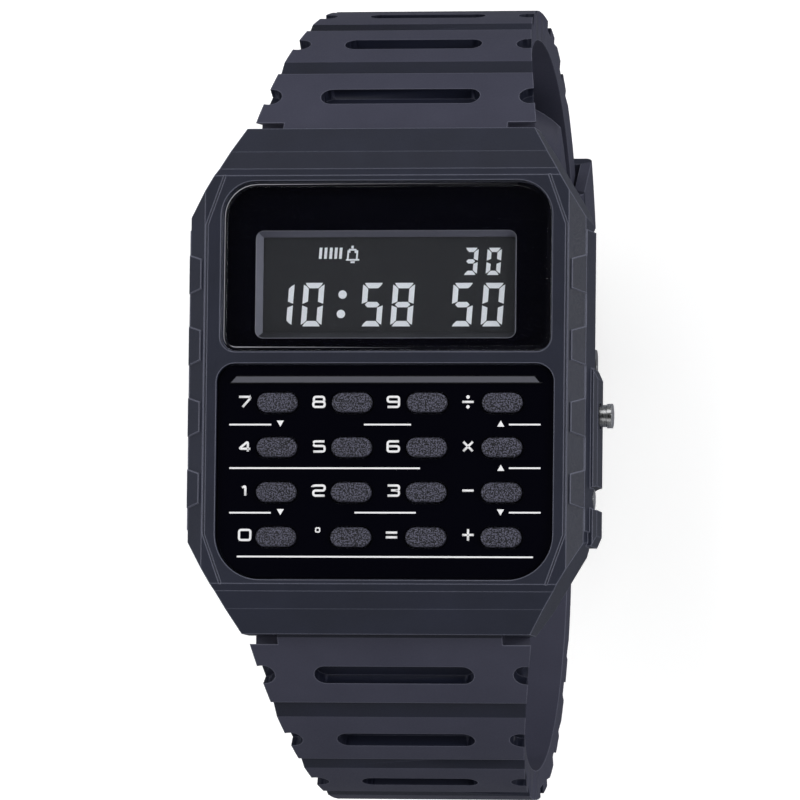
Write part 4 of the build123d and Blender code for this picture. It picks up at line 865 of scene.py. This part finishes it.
def stroke(paths: Iterable[Path], width_mm: float, name: str, last_share: float = 1.0) -> Piece:
    """Draws lines of one width with round ends.

    Args:
        paths: Points of each path in millimetres, and whether it is closed.
        width_mm: Width of the lines.
        name: The mesh's name.
        last_share: Width at each path's last point, as a share of the width.

    Returns:
        The drawing.
    """
    pen = {"dimensions": "3D", "bevel_depth": width_mm / 2 * MM, "bevel_resolution": 1, "use_fill_caps": True}
    return drawing(paths, name, pen, last_share)


def rounded(points: tuple[tuple[float, float], ...], radius: float, closed: bool = False, steps: int = 4
            ) -> tuple[tuple[float, float], ...]:
    """Rounds the corners of a path.

    Args:
        points: The path's corners.
        radius: How far before and after each corner the bend starts and ends.
        closed: Whether the path comes back to its start.
        steps: Points on each bend.

    Returns:
        The path with its bends.
    """
    bent: list[tuple[float, float]] = []
    for at, corner in enumerate(points):
        if not closed and at in (0, len(points) - 1):
            bent.append(corner)
            continue
        here = Vector(corner)
        start = here + (Vector(points[at - 1]) - here).normalized() * radius
        end = here + (Vector(points[(at + 1) % len(points)]) - here).normalized() * radius
        for step in range(steps + 1):
            share = step / steps
            spot = start * (1 - share) ** 2 + here * 2 * share * (1 - share) + end * share ** 2
            bent.append((spot.x, spot.y))
    return tuple(bent)


def rounded_rectangle(low: Vector, high: Vector, radii: list[float]) -> list[Vector]:
    """Outlines an upright rectangle with rounded corners, anticlockwise from the right of its base.

    Args:
        low: Its lower left corner.
        high: Its upper right corner.
        radii: Radius of its lower corners and of its upper corners.

    Returns:
        Points of the outline.
    """
    spots = []
    for x, y, turn in ((1, -1, -90), (1, 1, 0), (-1, 1, 90), (-1, -1, 180)):
        radius = radii[int(y > 0)]
        hub = Vector((high.x if x > 0 else low.x, high.y if y > 0 else low.y)) - radius * Vector((x, y))
        for step in range(CORNER_STEPS + 1):
            angle = math.radians(turn + step * 90 / CORNER_STEPS)
            spots.append(hub + radius * Vector((math.cos(angle), math.sin(angle))))
    return spots


@dataclass
class Photo:
    """How pixels of the photo relate to places on the head."""

    centre_x: float = 384.2
    centre_y: float = 379.0
    scale: float = 11.79
    distance_mm: float = 700.0
    lean_x: float = 0.153
    lean_y: float = -0.07
    frame_px: float = 800.0

    def axes(self) -> tuple[Vector, Vector, Vector]:
        """Finds the camera's directions; the head's width lies level in the picture.

        Returns:
            Right, up and backward.
        """
        back = Vector((self.lean_x, self.lean_y, 0))
        back.z = math.sqrt(1 - back.length_squared)
        up = back.cross(Vector((1, 0, 0))).normalized()
        return up.cross(back), up, back

    def eye(self) -> Vector:
        """Finds the camera's place.

        Returns:
            The place in millimetres, with heights counted from the bezel plane.
        """
        middle = self.frame_px / 2
        target = Vector(((middle - self.centre_x) / self.scale, (self.centre_y - middle) / self.scale, 0))
        return target + self.axes()[2] * self.distance_mm

    def spot(self, pixel_x: float, pixel_y: float, depth_mm: float) -> Vector:
        """Finds a place on the head from the photo.

        Args:
            pixel_x: Pixels from the left.
            pixel_y: Pixels from the top.
            depth_mm: Depth of the place under the bezel plane.

        Returns:
            X and Y in millimetres.
        """
        right, up, back = self.axes()
        middle = self.frame_px / 2
        ray = (right * (pixel_x - middle) + up * (middle - pixel_y)) / (self.scale * self.distance_mm) - back
        eye = self.eye()
        return (eye - ray * ((eye.z + depth_mm) / ray.z)).xy


@dataclass
class Display:
    """The window, the black print behind it, and what the liquid crystal shows."""

    photo: Photo
    aperture_px: tuple[float, float, float, float] = (255.7, 338.7, 517.5, 230.3)
    aperture_corner_mm: float = 0.7
    print_mm: float = 0.02
    print_gap_mm: float = 0.01
    bevel_inset_mm: float = 0.2
    bevel_mm: float = 0.2
    bevel_depth_mm: float = 0.06
    bead_flat_shares: tuple[float, float] = (0.5, 0.3)  # height over width of the bevel's and the rim's bead
    bevel_ends_mm: tuple[float, float] = (11.2, 2.5)
    glass_corner_mm: tuple[float, float] = (1.2, 2.9)
    print_inset_mm: float = 0.2
    bar_mm: float = 0.46
    small_bar_mm: float = 0.36
    colon_mm: float = 0.36
    gap_mm: float = 0.05
    slant: float = 0.07
    film_mm: float = 0.02
    rim_mm: float = 0.09
    bevel_end_share: float = 0.1
    # how far the corners of a bar reach past its ends, as shares of its width
    point_share: float = 0.5
    waist_shares: tuple[float, float] = (0.2, 0.25)
    corner_shares: tuple[float, float] = (0.3, 0.5)
    # each figure with its left and right side, and the rows' upper and lower edges
    large_px: tuple[tuple[str, float, float], ...] = (
        ("1", 270.8, 295.6), ("0", 301.4, 325.6), ("5", 360.7, 385.3), ("8", 390.8, 416.0),
        ("5", 450.9, 475.3), ("0", 481.3, 506.0))
    large_rows_px: tuple[float, float] = (283.3, 326.8)
    small_px: tuple[tuple[str, float, float], ...] = (("3", 463.3, 479.6), ("0", 486.3, 502.8))
    small_rows_px: tuple[float, float] = (248.2, 275.4)
    colon_px: tuple[tuple[float, float], ...] = ((343.4, 295.0), (341.7, 314.4))
    colon_corners: int = 24
    sound_px: tuple[float, ...] = (321.5, 326.6, 331.8, 336.8, 341.6)
    sound_row_px: float = 253.7
    sound_mm: tuple[float, float] = (0.24, 0.95)
    # each bar of the bell: its middle in pixels, and its width and height in millimetres
    bell: tuple[tuple[tuple[float, float], float, float], ...] = (
        ((353.4, 260.3), 1.15, 0.14), ((348.9, 255.2), 0.15, 0.75), ((357.9, 255.2), 0.15, 0.75),
        ((353.4, 250.2), 0.62, 0.15), ((353.4, 247.6), 0.2, 0.25), ((353.4, 262.6), 0.36, 0.16),
        ((350.4, 251.6), 0.16, 0.3), ((356.4, 251.6), 0.16, 0.3))

    def build(self) -> None:
        """Builds the print, the painted highlight on the mask's front edge, the frosted bevel with its
        painted highlight and shade, and the lit segments.
        """
        bpy.data.objects["display_window"].visible_shadow = False
        self.black_print()
        self.rim()
        self.bevel()
        self.digits()

    def outline(self, inset_mm: float) -> list[Vector]:
        """Draws the glass's outline in by a distance.

        Args:
            inset_mm: The distance.

        Returns:
            Points of the outline, in metres.
        """
        low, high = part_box("display_window")
        inset = Vector((inset_mm, inset_mm)) * MM
        radii = [(radius - inset_mm) * MM for radius in self.glass_corner_mm]
        return rounded_rectangle(low.xy + inset, high.xy - inset, radii)

    def bevel(self) -> None:
        """Painted highlight on the ground bevel of the glass: a fine frosted bead along its top, left side
        and base.
        """
        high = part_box("display_window")[1]
        left = self.outline(self.bevel_inset_mm)[2 * (CORNER_STEPS + 1):]  # past the two corners on the right
        side = [(spot.x / MM, spot.y / MM) for spot in left]
        line = ((self.bevel_ends_mm[0], side[0][1]), *side, (self.bevel_ends_mm[1], side[-1][1]))
        bead = stroke([(line, False)], self.bevel_mm, "window_bevel", self.bevel_end_share)
        bead.data.transform(Matrix.Diagonal((1, 1, self.bead_flat_shares[0], 1)))
        bead.data.transform(Matrix.Translation((0, 0, high.z - self.bevel_depth_mm * MM)))
        install(bead, ROOT_BODY, Palette.WINDOW_BEVEL)

    def opening(self) -> tuple[list[Vector], float]:
        """Finds the opening in the print.

        Returns:
            Points of its outline and the height of the print's upper face, in metres.
        """
        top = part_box("display_window")[0].z - self.print_gap_mm * MM
        depth = (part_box("case")[1].z - top) / MM
        left, base, right, upper = self.aperture_px
        near, far = self.photo.spot(left, base, depth) * MM, self.photo.spot(right, upper, depth) * MM
        return rounded_rectangle(near, far, [self.aperture_corner_mm * MM] * 2), top

    def rim(self) -> None:
        """Painted highlight on the front edge of the mask: a fine pale line round the opening in the print.
        """
        inner, top = self.opening()
        line = tuple((spot.x / MM, spot.y / MM) for spot in inner)
        bead = stroke([(line, True)], self.rim_mm, "display_rim")
        bead.data.transform(Matrix.Diagonal((1, 1, self.bead_flat_shares[1], 1)))
        bead.data.transform(Matrix.Translation((0, 0, top - self.print_mm * MM)))
        install(bead, ROOT_BODY, Palette.MASK_RIM)

    def black_print(self) -> None:
        """Black sheet under the glass, between the glass's outline and the display's opening."""
        inner, top = self.opening()
        edges = [([(spot.x / MM, spot.y / MM) for spot in edge], True)
                 for edge in (self.outline(self.print_inset_mm), inner)]
        fill = {"dimensions": "2D", "fill_mode": "BOTH", "extrude": self.print_mm / 2 * MM}
        sheet = drawing(edges, "window_print", fill)
        sheet.data.transform(Matrix.Translation((0, 0, top - self.print_mm / 2 * MM)))
        install(sheet, ROOT_BODY, Palette.WINDOW_PRINT)

    def digits(self) -> None:
        """Every lit digit, the colon and the small pair, as one thin piece on the liquid crystal."""
        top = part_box("lcd_panel")[1].z
        depth = (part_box("case")[1].z - top) / MM
        parts: list[Piece] = []
        for figures, (high, low), bar in ((self.large_px, self.large_rows_px, self.bar_mm),
                                          (self.small_px, self.small_rows_px, self.small_bar_mm)):
            for digit, left, right in figures:
                centre = self.photo.spot((left + right) / 2, (high + low) / 2, depth)
                half = (self.photo.spot(right, high, depth) - self.photo.spot(left, low, depth)) / 2
                half.x -= self.slant * half.y
                parts += self.digit(digit, centre, half, bar)
        for pixel in self.colon_px:
            spot = self.photo.spot(*pixel, depth)
            bpy.ops.mesh.primitive_circle_add(vertices=self.colon_corners, radius=self.colon_mm * MM,
                                              fill_type="NGON", location=(spot.x * MM, spot.y * MM, 0))
            parts.append(bpy.context.object)
        parts += self.icons(depth)
        lit = joined(parts, "lcd_segments")
        thicken(lit, self.film_mm, -1)
        lit.data.transform(Matrix.Translation((0, 0, top + 2 * self.film_mm * MM)))
        install(lit, ROOT_BODY, Palette.SEGMENT)

    def digit(self, digit: str, centre: Vector, half: Vector, bar: float) -> list[Piece]:
        """One digit of lit bars.

        Args:
            digit: The figure to show.
            centre: Its middle, in millimetres.
            half: Half its width and half its height, in millimetres.
            bar: Width of a bar, in millimetres.

        Returns:
            The bars.
        """
        bars = []
        place = Matrix.Translation((centre.x * MM, centre.y * MM, 0)) @ leaning(self.slant)
        for segment in LIT[digit]:
            ends = [Vector((across * (half.x - bar / 2), up * (half.y - bar / 2)))
                    for across, up in segment.value]
            run = ends[1] - ends[0]
            middle = (ends[0] + ends[1]) / 2
            bpy.ops.mesh.primitive_circle_add(vertices=len(HEXAGON), radius=1, fill_type="NGON")
            piece = bpy.context.object
            length = run.length - 2 * self.gap_mm
            outward = middle.dot(Vector((-run.y, run.x)))
            for vertex, (along, side) in zip(piece.data.vertices, HEXAGON):
                out = side * math.copysign(1, outward)
                at_middle = segment.value[int(along > 0)][1] == 0.0
                if segment is Segment.MIDDLE:
                    grown = -self.point_share * abs(side)
                elif at_middle:
                    grown = self.waist_shares[0] * out - self.waist_shares[1]
                else:
                    grown = self.corner_shares[0] if out > 0 else self.corner_shares[1] * out
                vertex.co = (along * (length / 2 + grown * bar), side * bar / 2, 0)
            turn = Matrix.Rotation(math.atan2(run.y, run.x), 4, "Z")
            shift = Matrix.Translation((middle.x * MM, middle.y * MM, 0))
            piece.data.transform(place @ shift @ turn @ Matrix.Scale(MM, 4))
            bars.append(piece)
        return bars

    def icons(self, depth: float) -> list[Piece]:
        """The five sound bars and the bell above the hours.

        Args:
            depth: Depth of the liquid crystal under the bezel, in millimetres.

        Returns:
            The shapes, flat.
        """
        parts = []
        for pixel in self.sound_px:
            spot = self.photo.spot(pixel, self.sound_row_px, depth)
            parts.append(flat_bar(spot, *self.sound_mm, self.slant))
        for pixel, width, height in self.bell:
            parts.append(flat_bar(self.photo.spot(*pixel, depth), width, height, self.slant))
        return parts


@dataclass
class Keypad:
    """What is printed on the panel, the painted highlight on its ridge, and the key caps."""

    photo: Photo
    ink_mm: float = 0.012
    ridge_height_mm: float = 0.25
    ridge_mm: tuple[float, float] = (26.5, 0.5)
    ridge_middle_mm: float = -0.02
    ridge_end_mm: float = 0.45
    dot_mm: float = 0.15
    dot_rise_mm: float = 0.42
    equals_rise_mm: float = 0.2
    cross_mm: float = 0.4
    point_mm: float = 0.17
    point_stroke_share: float = 0.7
    figure_mm: tuple[float, float] = (0.98, 0.86)
    stroke_mm: float = 0.21
    bend_mm: float = 0.2
    line_mm: float = 0.14
    triangle_mm: float = 0.35
    label_columns_px: tuple[float, ...] = (244.7, 319.0, 393.3, 468.0)
    label_rows_px: tuple[float, ...] = (401.9, 446.5, 490.6, 535.0)
    equals_px: float = 391.5
    point_px: tuple[float, float] = (317.6, 530.0)
    # each printed line's height, and the left and right ends of its runs
    line_px: tuple[tuple[float, tuple[tuple[float, float], ...]], ...] = (
        (424.6, ((229.3, 271.3), (364.0, 411.0), (508.9, 540.6))),
        (468.2, ((229.3, 420.0), (508.9, 540.6))),
        (512.7, ((229.3, 270.8), (354.5, 415.7), (508.9, 540.6))),
        (556.9, ((236.7, 533.0),)))
    # each triangle's middle, and how far it is turned in degrees
    triangle_px: tuple[tuple[tuple[float, float], float], ...] = (
        ((280.3, 422.6), 60), ((500.8, 424.6), 0), ((500.8, 468.8), 0), ((280.3, 511.1), 60),
        ((500.4, 511.5), 60))

    def build(self) -> None:
        """Prints the labels and lines, paints a highlight on the ridge and dresses the keys."""
        self.labels()
        self.lines()
        self.ridge()
        for name in KEY_NAMES:
            paint(bpy.data.objects[name], Palette.KEY)

    def surface(self) -> tuple[float, float]:
        """Finds the face that is printed on.

        Returns:
            Its height in metres, and its depth under the bezel in millimetres.
        """
        ridge_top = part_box("keypad_panel")[1].z
        top = ridge_top - self.ridge_height_mm * MM
        return top, (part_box("case")[1].z - top) / MM

    def labels(self) -> None:
        """Figures and signs beside the keys, as one printed piece."""
        top, depth = self.surface()
        parts: list[Piece] = []
        for row, figures in enumerate(("789", "456", "123", "0")):
            for column, figure in enumerate(figures):
                spot = self.photo.spot(self.label_columns_px[column], self.label_rows_px[row], depth)
                parts.append(self.figure(figure, spot))
        parts += self.signs(depth)
        labels = joined(parts, "keypad_labels")
        labels.data.transform(Matrix.Diagonal((1, 1, 2 * self.ink_mm / self.stroke_mm, 1)))
        self.print_on(labels, top)

    def figure(self, figure: str, spot: Vector) -> Piece:
        """One printed figure of even strokes.

        Args:
            figure: The figure.
            spot: Its middle, in millimetres.

        Returns:
            The figure.
        """
        half_x, half_y = self.figure_mm[0] / 2, self.figure_mm[1] / 2
        paths = []
        for points, closed in FIGURES[figure]:
            corners = tuple((spot.x + x * half_x, spot.y + y * half_y) for x, y in points)
            paths.append((rounded(corners, self.bend_mm, closed), closed))
        return stroke(paths, self.stroke_mm, f"figure_{figure}")

    def disc(self, spot: Vector, radius: float, corners: int = 16, turn_deg: float = 0.0) -> Piece:
        """One printed dot, or a triangle when it has three corners.

        Args:
            spot: Its middle, in millimetres.
            radius: From its middle to its corners, in millimetres.
            corners: How many corners it has.
            turn_deg: How far it is turned.

        Returns:
            The dot, flat.
        """
        bpy.ops.mesh.primitive_circle_add(vertices=corners, radius=radius * MM, fill_type="NGON",
                                          location=(spot.x * MM, spot.y * MM, 0),
                                          rotation=(0, 0, math.radians(turn_deg)))
        piece = bpy.context.object
        bpy.ops.object.transform_apply(location=True, rotation=True, scale=True)
        return piece

    def signs(self, depth: float) -> list[Piece]:
        """The signs of the four operations, the point and the equals sign.

        Args:
            depth: Depth of the panel under the bezel, in millimetres.

        Returns:
            The strokes of the signs, and the point.
        """
        divide, times, minus, plus = [self.photo.spot(self.label_columns_px[3], row, depth)
                                      for row in self.label_rows_px]
        equals = self.photo.spot(self.equals_px, self.label_rows_px[3], depth)
        point = self.photo.spot(*self.point_px, depth)
        reach = self.figure_mm[0] / 2
        level = ((-reach, 0.0), (reach, 0.0))
        upright = ((0.0, -reach), (0.0, reach))
        slope = self.cross_mm
        crossed = (((-slope, -slope), (slope, slope)), ((-slope, slope), (slope, -slope)))
        drawn = [(divide, level), (minus, level), (plus, level), (plus, upright), (times, crossed[0]),
                 (times, crossed[1])]
        drawn += [(equals + Vector((0, side * self.equals_rise_mm)), level) for side in (1, -1)]
        paths = [(tuple((spot.x + x, spot.y + y) for x, y in line), False) for spot, line in drawn]
        parts = [stroke(paths, self.stroke_mm, "signs")]
        square = tuple((point.x + x * self.point_mm, point.y + y * self.point_mm)
                       for x, y in ((-1, -1), (1, -1), (1, 1), (-1, 1)))
        ring = rounded(square, self.point_mm / 2, True)
        parts.append(stroke([(ring, True)], self.point_mm * self.point_stroke_share, "point"))
        return parts

    def lines(self) -> None:
        """Lines under the rows of keys, the small triangles, and the dots of the division sign."""
        top, depth = self.surface()
        divide = self.photo.spot(self.label_columns_px[3], self.label_rows_px[0], depth)
        parts = [self.disc(divide + Vector((0, side * self.dot_rise_mm)), self.dot_mm) for side in (1, -1)]
        for row, spans in self.line_px:
            for left, right in spans:
                start = self.photo.spot(left, row, depth)
                end = self.photo.spot(right, row, depth)
                parts.append(flat_bar((start + end) / 2, end.x - start.x, self.line_mm))
        for pixel, turn in self.triangle_px:
            parts.append(self.disc(self.photo.spot(*pixel, depth), self.triangle_mm, 3, turn))
        self.print_on(joined(parts, "keypad_lines"), top)

    def print_on(self, piece: Piece, top: float) -> None:
        """Gives flat artwork the thickness of ink and lays it on the panel.

        Args:
            piece: The artwork.
            top: Height of the panel, in metres.
        """
        if max(abs(vertex.co.z) for vertex in piece.data.vertices) < ARTWORK_FLAT_MM * MM:
            thicken(piece, self.ink_mm, 1)
        piece.data.transform(Matrix.Translation((0, 0, top)))
        install(piece, ROOT_BODY, Palette.INK)

    def ridge(self) -> None:
        """Grey painted highlight on the top of the panel's ridge."""
        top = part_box("keypad_panel")[1].z
        bpy.ops.mesh.primitive_plane_add(size=1)
        piece = bpy.context.object
        piece.scale = (self.ridge_mm[0] * MM, self.ridge_mm[1] * MM, 1)
        piece.location = (0, self.ridge_middle_mm * MM, 0)
        piece = joined([piece], "ridge_paint")
        for vertex in piece.data.vertices:
            if vertex.co.y > self.ridge_middle_mm * MM:
                vertex.co.x -= math.copysign(self.ridge_end_mm * MM, vertex.co.x)
        thicken(piece, self.ink_mm, 1)
        piece.data.transform(Matrix.Translation((0, 0, top)))
        install(piece, ROOT_BODY, Palette.RIDGE_PAINT)


# strokes of each printed figure, in half widths and half heights from its middle, and whether each is closed
FIGURES = {
    "0": ((((-1, -1), (1, -1), (1, 1), (-1, 1)), True),),
    "1": ((((-0.45, 0.55), (0.1, 1.0), (0.1, -1.0)), False),),
    "2": ((((-1, 0.95), (-0.9, 1), (1, 1), (1, 0), (-1, 0), (-1, -1), (1, -1)), False),),
    "3": ((((-1, 1), (1, 1), (1, 0.05), (-0.4, 0.05)), False),
          (((0.4, 0.0), (1, 0.0), (1, -1), (-1, -1)), False)),
    "4": ((((0.55, -1), (0.55, 1), (-1, -0.45), (1, -0.45)), False),),
    "5": ((((0.95, 1), (-1, 1), (-1, 0.1), (1, 0.1), (1, -1), (-1, -1)), False),),
    "6": ((((1, 1), (-1, 1), (-1, -1), (1, -1), (1, 0.05), (-0.9, 0.05)), False),),
    "7": ((((-1, 1), (1, 1), (1, 0.75), (-0.35, -1)), False),),
    "8": ((((-1, -1), (1, -1), (1, 0.03), (-1, 0.03)), True),
          (((-0.9, 0.1), (-0.9, 1), (0.9, 1), (0.9, 0.1)), False)),
    "9": ((((-1, -1), (1, -1), (1, 1), (-1, 1), (-1, 0.0), (0.9, 0.0)), False),),
}

KEY_NAMES = tuple(f"key_{figure}" for figure in range(10)) + (
    "key_point", "key_equals", "key_plus", "key_minus", "key_multiply", "key_divide")


@dataclass
class Studio:
    """Camera, lamps, floor and world, whose two ranges give a height or a side and the light there."""

    photo: Photo
    lens_sensor_mm: float = 36.0
    floor_mm: float = 1600.0
    opened_reach_mm: float = 10.5
    mirrored_sky: tuple[float, ...] = (0.0, 0.6, 0.8, 0.008)
    fill_light: tuple[float, ...] = (-1.0, 1.0, 0.55, 1.0)
    paper_glow: float = 0.35
    paper: str = "#f4f4f4"
    paper_bounce: str = "#8a8c92"
    backdrop: str = "#ffffff"
    clip_m: tuple[float, float] = (0.01, 20.0)
    # each soft box: its name, its place and size in metres, and its power in watts
    boxes: tuple[tuple[str, tuple[float, float, float], float, float], ...] = (
        ("north_box", (-0.1, 0.8, 0.9), 0.6, 2.0),
        ("west_box", (-0.85, 0.1, 0.8), 0.6, 3.0),
        ("east_box", (1.0, 0.1, 0.6), 0.5, 4.5),
        ("south_box", (-0.1, -0.8, 0.9), 0.6, 0.9))

    def build(self) -> None:
        """Sets up everything round the watch."""
        self.camera()
        self.floor()
        self.world()
        self.lamps()
        bpy.context.scene.view_settings.view_transform = "Standard"

    def camera(self) -> None:
        """A long lens at the photo's place, aimed so that the head falls where the photo has it."""
        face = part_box("case")[1].z
        data = bpy.data.cameras.new("photo_camera")
        data.sensor_width = self.lens_sensor_mm
        data.lens = self.photo.scale * self.photo.distance_mm * self.lens_sensor_mm / self.photo.frame_px
        data.clip_start, data.clip_end = self.clip_m
        camera = placed("photo_camera", data)
        turn = Matrix(self.photo.axes()).transposed().to_4x4()
        camera.matrix_world = Matrix.Translation(self.photo.eye() * MM + Vector((0, 0, face))) @ turn
        bpy.context.scene.camera = camera

    def shows_background(self, tree: Tree) -> Socket:
        """Tells rays that should meet the plain background, seen or seen through glass, from others.

        Args:
            tree: The nodes of the floor's material.

        Returns:
            One for such rays, and nought for others.
        """
        path = add_node(tree, "ShaderNodeLightPath")
        both = add_node(tree, "ShaderNodeMath", {"operation": "MAXIMUM"},
                        links={0: path.outputs["Is Camera Ray"], 1: path.outputs["Is Transmission Ray"]})
        return both.outputs[0]

    def floor(self) -> None:
        """Plain white floor, as far under the watch as the opened buckle reaches; it keeps a soft shadow."""
        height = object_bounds()[0][2] - self.opened_reach_mm * MM
        deselect_all()
        bpy.ops.mesh.primitive_grid_add(x_subdivisions=4, y_subdivisions=4, size=self.floor_mm * MM,
                                        location=(0, 0, height))
        floor = bpy.context.object
        floor.name = "studio_floor"
        material = bpy.data.materials.new("studio_paper")
        material.use_nodes = True
        tree = material.node_tree
        tree.nodes.clear()
        paper = add_node(tree, "ShaderNodeBsdfDiffuse", values={"Color": linear(self.paper)})
        lit = add_node(tree, "ShaderNodeEmission", values={"Strength": self.paper_glow})
        seen = add_node(tree, "ShaderNodeAddShader", links={0: paper.outputs[0], 1: lit.outputs[0]})
        dim = add_node(tree, "ShaderNodeBsdfDiffuse", values={"Color": linear(self.paper_bounce)})
        both = add_node(tree, "ShaderNodeMixShader",
                        links={0: self.shows_background(tree), 1: dim.outputs[0], 2: seen.outputs[0]})
        under = add_node(tree, "ShaderNodeNewGeometry").outputs["Backfacing"]
        clear = add_node(tree, "ShaderNodeBsdfTransparent")
        whole = add_node(tree, "ShaderNodeMixShader",
                         links={0: under, 1: both.outputs[0], 2: clear.outputs[0]})
        add_node(tree, "ShaderNodeOutputMaterial", links={"Surface": whole.outputs[0]})
        floor.data.materials.append(material)
        floor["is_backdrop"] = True

    def world(self) -> None:
        """White where it is seen, dark where it is mirrored so that gloss stays deep, lighter to twelve."""
        world = bpy.data.worlds.new("studio_world")
        bpy.context.scene.world = world
        world.use_nodes = True
        tree = world.node_tree
        tree.nodes.clear()
        place = add_node(tree, "ShaderNodeTexCoord").outputs["Generated"]
        parts = add_node(tree, "ShaderNodeSeparateXYZ", links={"Vector": place})
        height = add_node(tree, "ShaderNodeMapRange", values=dict(zip(RANGE, self.mirrored_sky)),
                          links={"Value": parts.outputs["Z"]})
        side = add_node(tree, "ShaderNodeMapRange", values=dict(zip(RANGE, self.fill_light)),
                        links={"Value": parts.outputs["Y"]})
        backdrop = add_node(tree, "ShaderNodeBackground",
                            values={"Color": linear(self.backdrop), "Strength": 1.0})
        mirrored = add_node(tree, "ShaderNodeBackground", links={"Strength": height.outputs["Result"]})
        fill = add_node(tree, "ShaderNodeBackground", links={"Strength": side.outputs["Result"]})
        path = add_node(tree, "ShaderNodeLightPath")
        gloss = add_node(tree, "ShaderNodeMath", {"operation": "MAXIMUM"},
                         links={0: path.outputs["Is Glossy Ray"], 1: path.outputs["Is Transmission Ray"]})
        soft = add_node(tree, "ShaderNodeMixShader",
                        links={0: gloss.outputs[0], 1: fill.outputs[0], 2: mirrored.outputs[0]})
        mix = add_node(tree, "ShaderNodeMixShader",
                       links={0: path.outputs["Is Camera Ray"], 1: soft.outputs[0], 2: backdrop.outputs[0]})
        add_node(tree, "ShaderNodeOutputWorld", links={"Surface": mix.outputs[0]})

    def lamps(self) -> None:
        """Soft boxes: one beyond twelve o'clock, one at each side and one towards six o'clock."""
        for name, place, size, power in self.boxes:
            data = bpy.data.lights.new(name, "AREA")
            data.shape = "SQUARE"
            data.size = size
            data.energy = power
            lamp = placed(name, data)
            lamp.location = place
            lamp.rotation_euler = (-Vector(place)).to_track_quat("-Z", "Y").to_euler()


def dress_nodes() -> None:
    """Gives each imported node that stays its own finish."""
    for finish, names in NODE_FINISHES.items():
        for name in names:
            paint(bpy.data.objects[name], finish)
            LOG.info("%s: %s", name, finish.value.name)


def main() -> None:
    """Builds the sub-assemblies in order."""
    logging.basicConfig(level=logging.INFO, format="%(name)s %(message)s")
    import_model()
    photo = Photo()
    dress_nodes()
    SmoothedNodes((
        ("strap_buckle_half", "strap_short_half", "strap_buckle_half", Palette.STRAP, "strap_resin"),
        ("strap_hole_half", "strap_long_half", "strap_hole_half", Palette.STRAP, "strap_resin"),
        ("strap_keeper", "strap_loop", "strap_keeper", Palette.STRAP, "strap_resin"),
    ), Arcs(STRAP_ARCS, STRAP_ARC_Z), Palette.STRAP_GROOVE).build()
    Display(photo).build()
    Keypad(photo).build()
    Studio(photo).build()


if __name__ == "__main__":
    main()
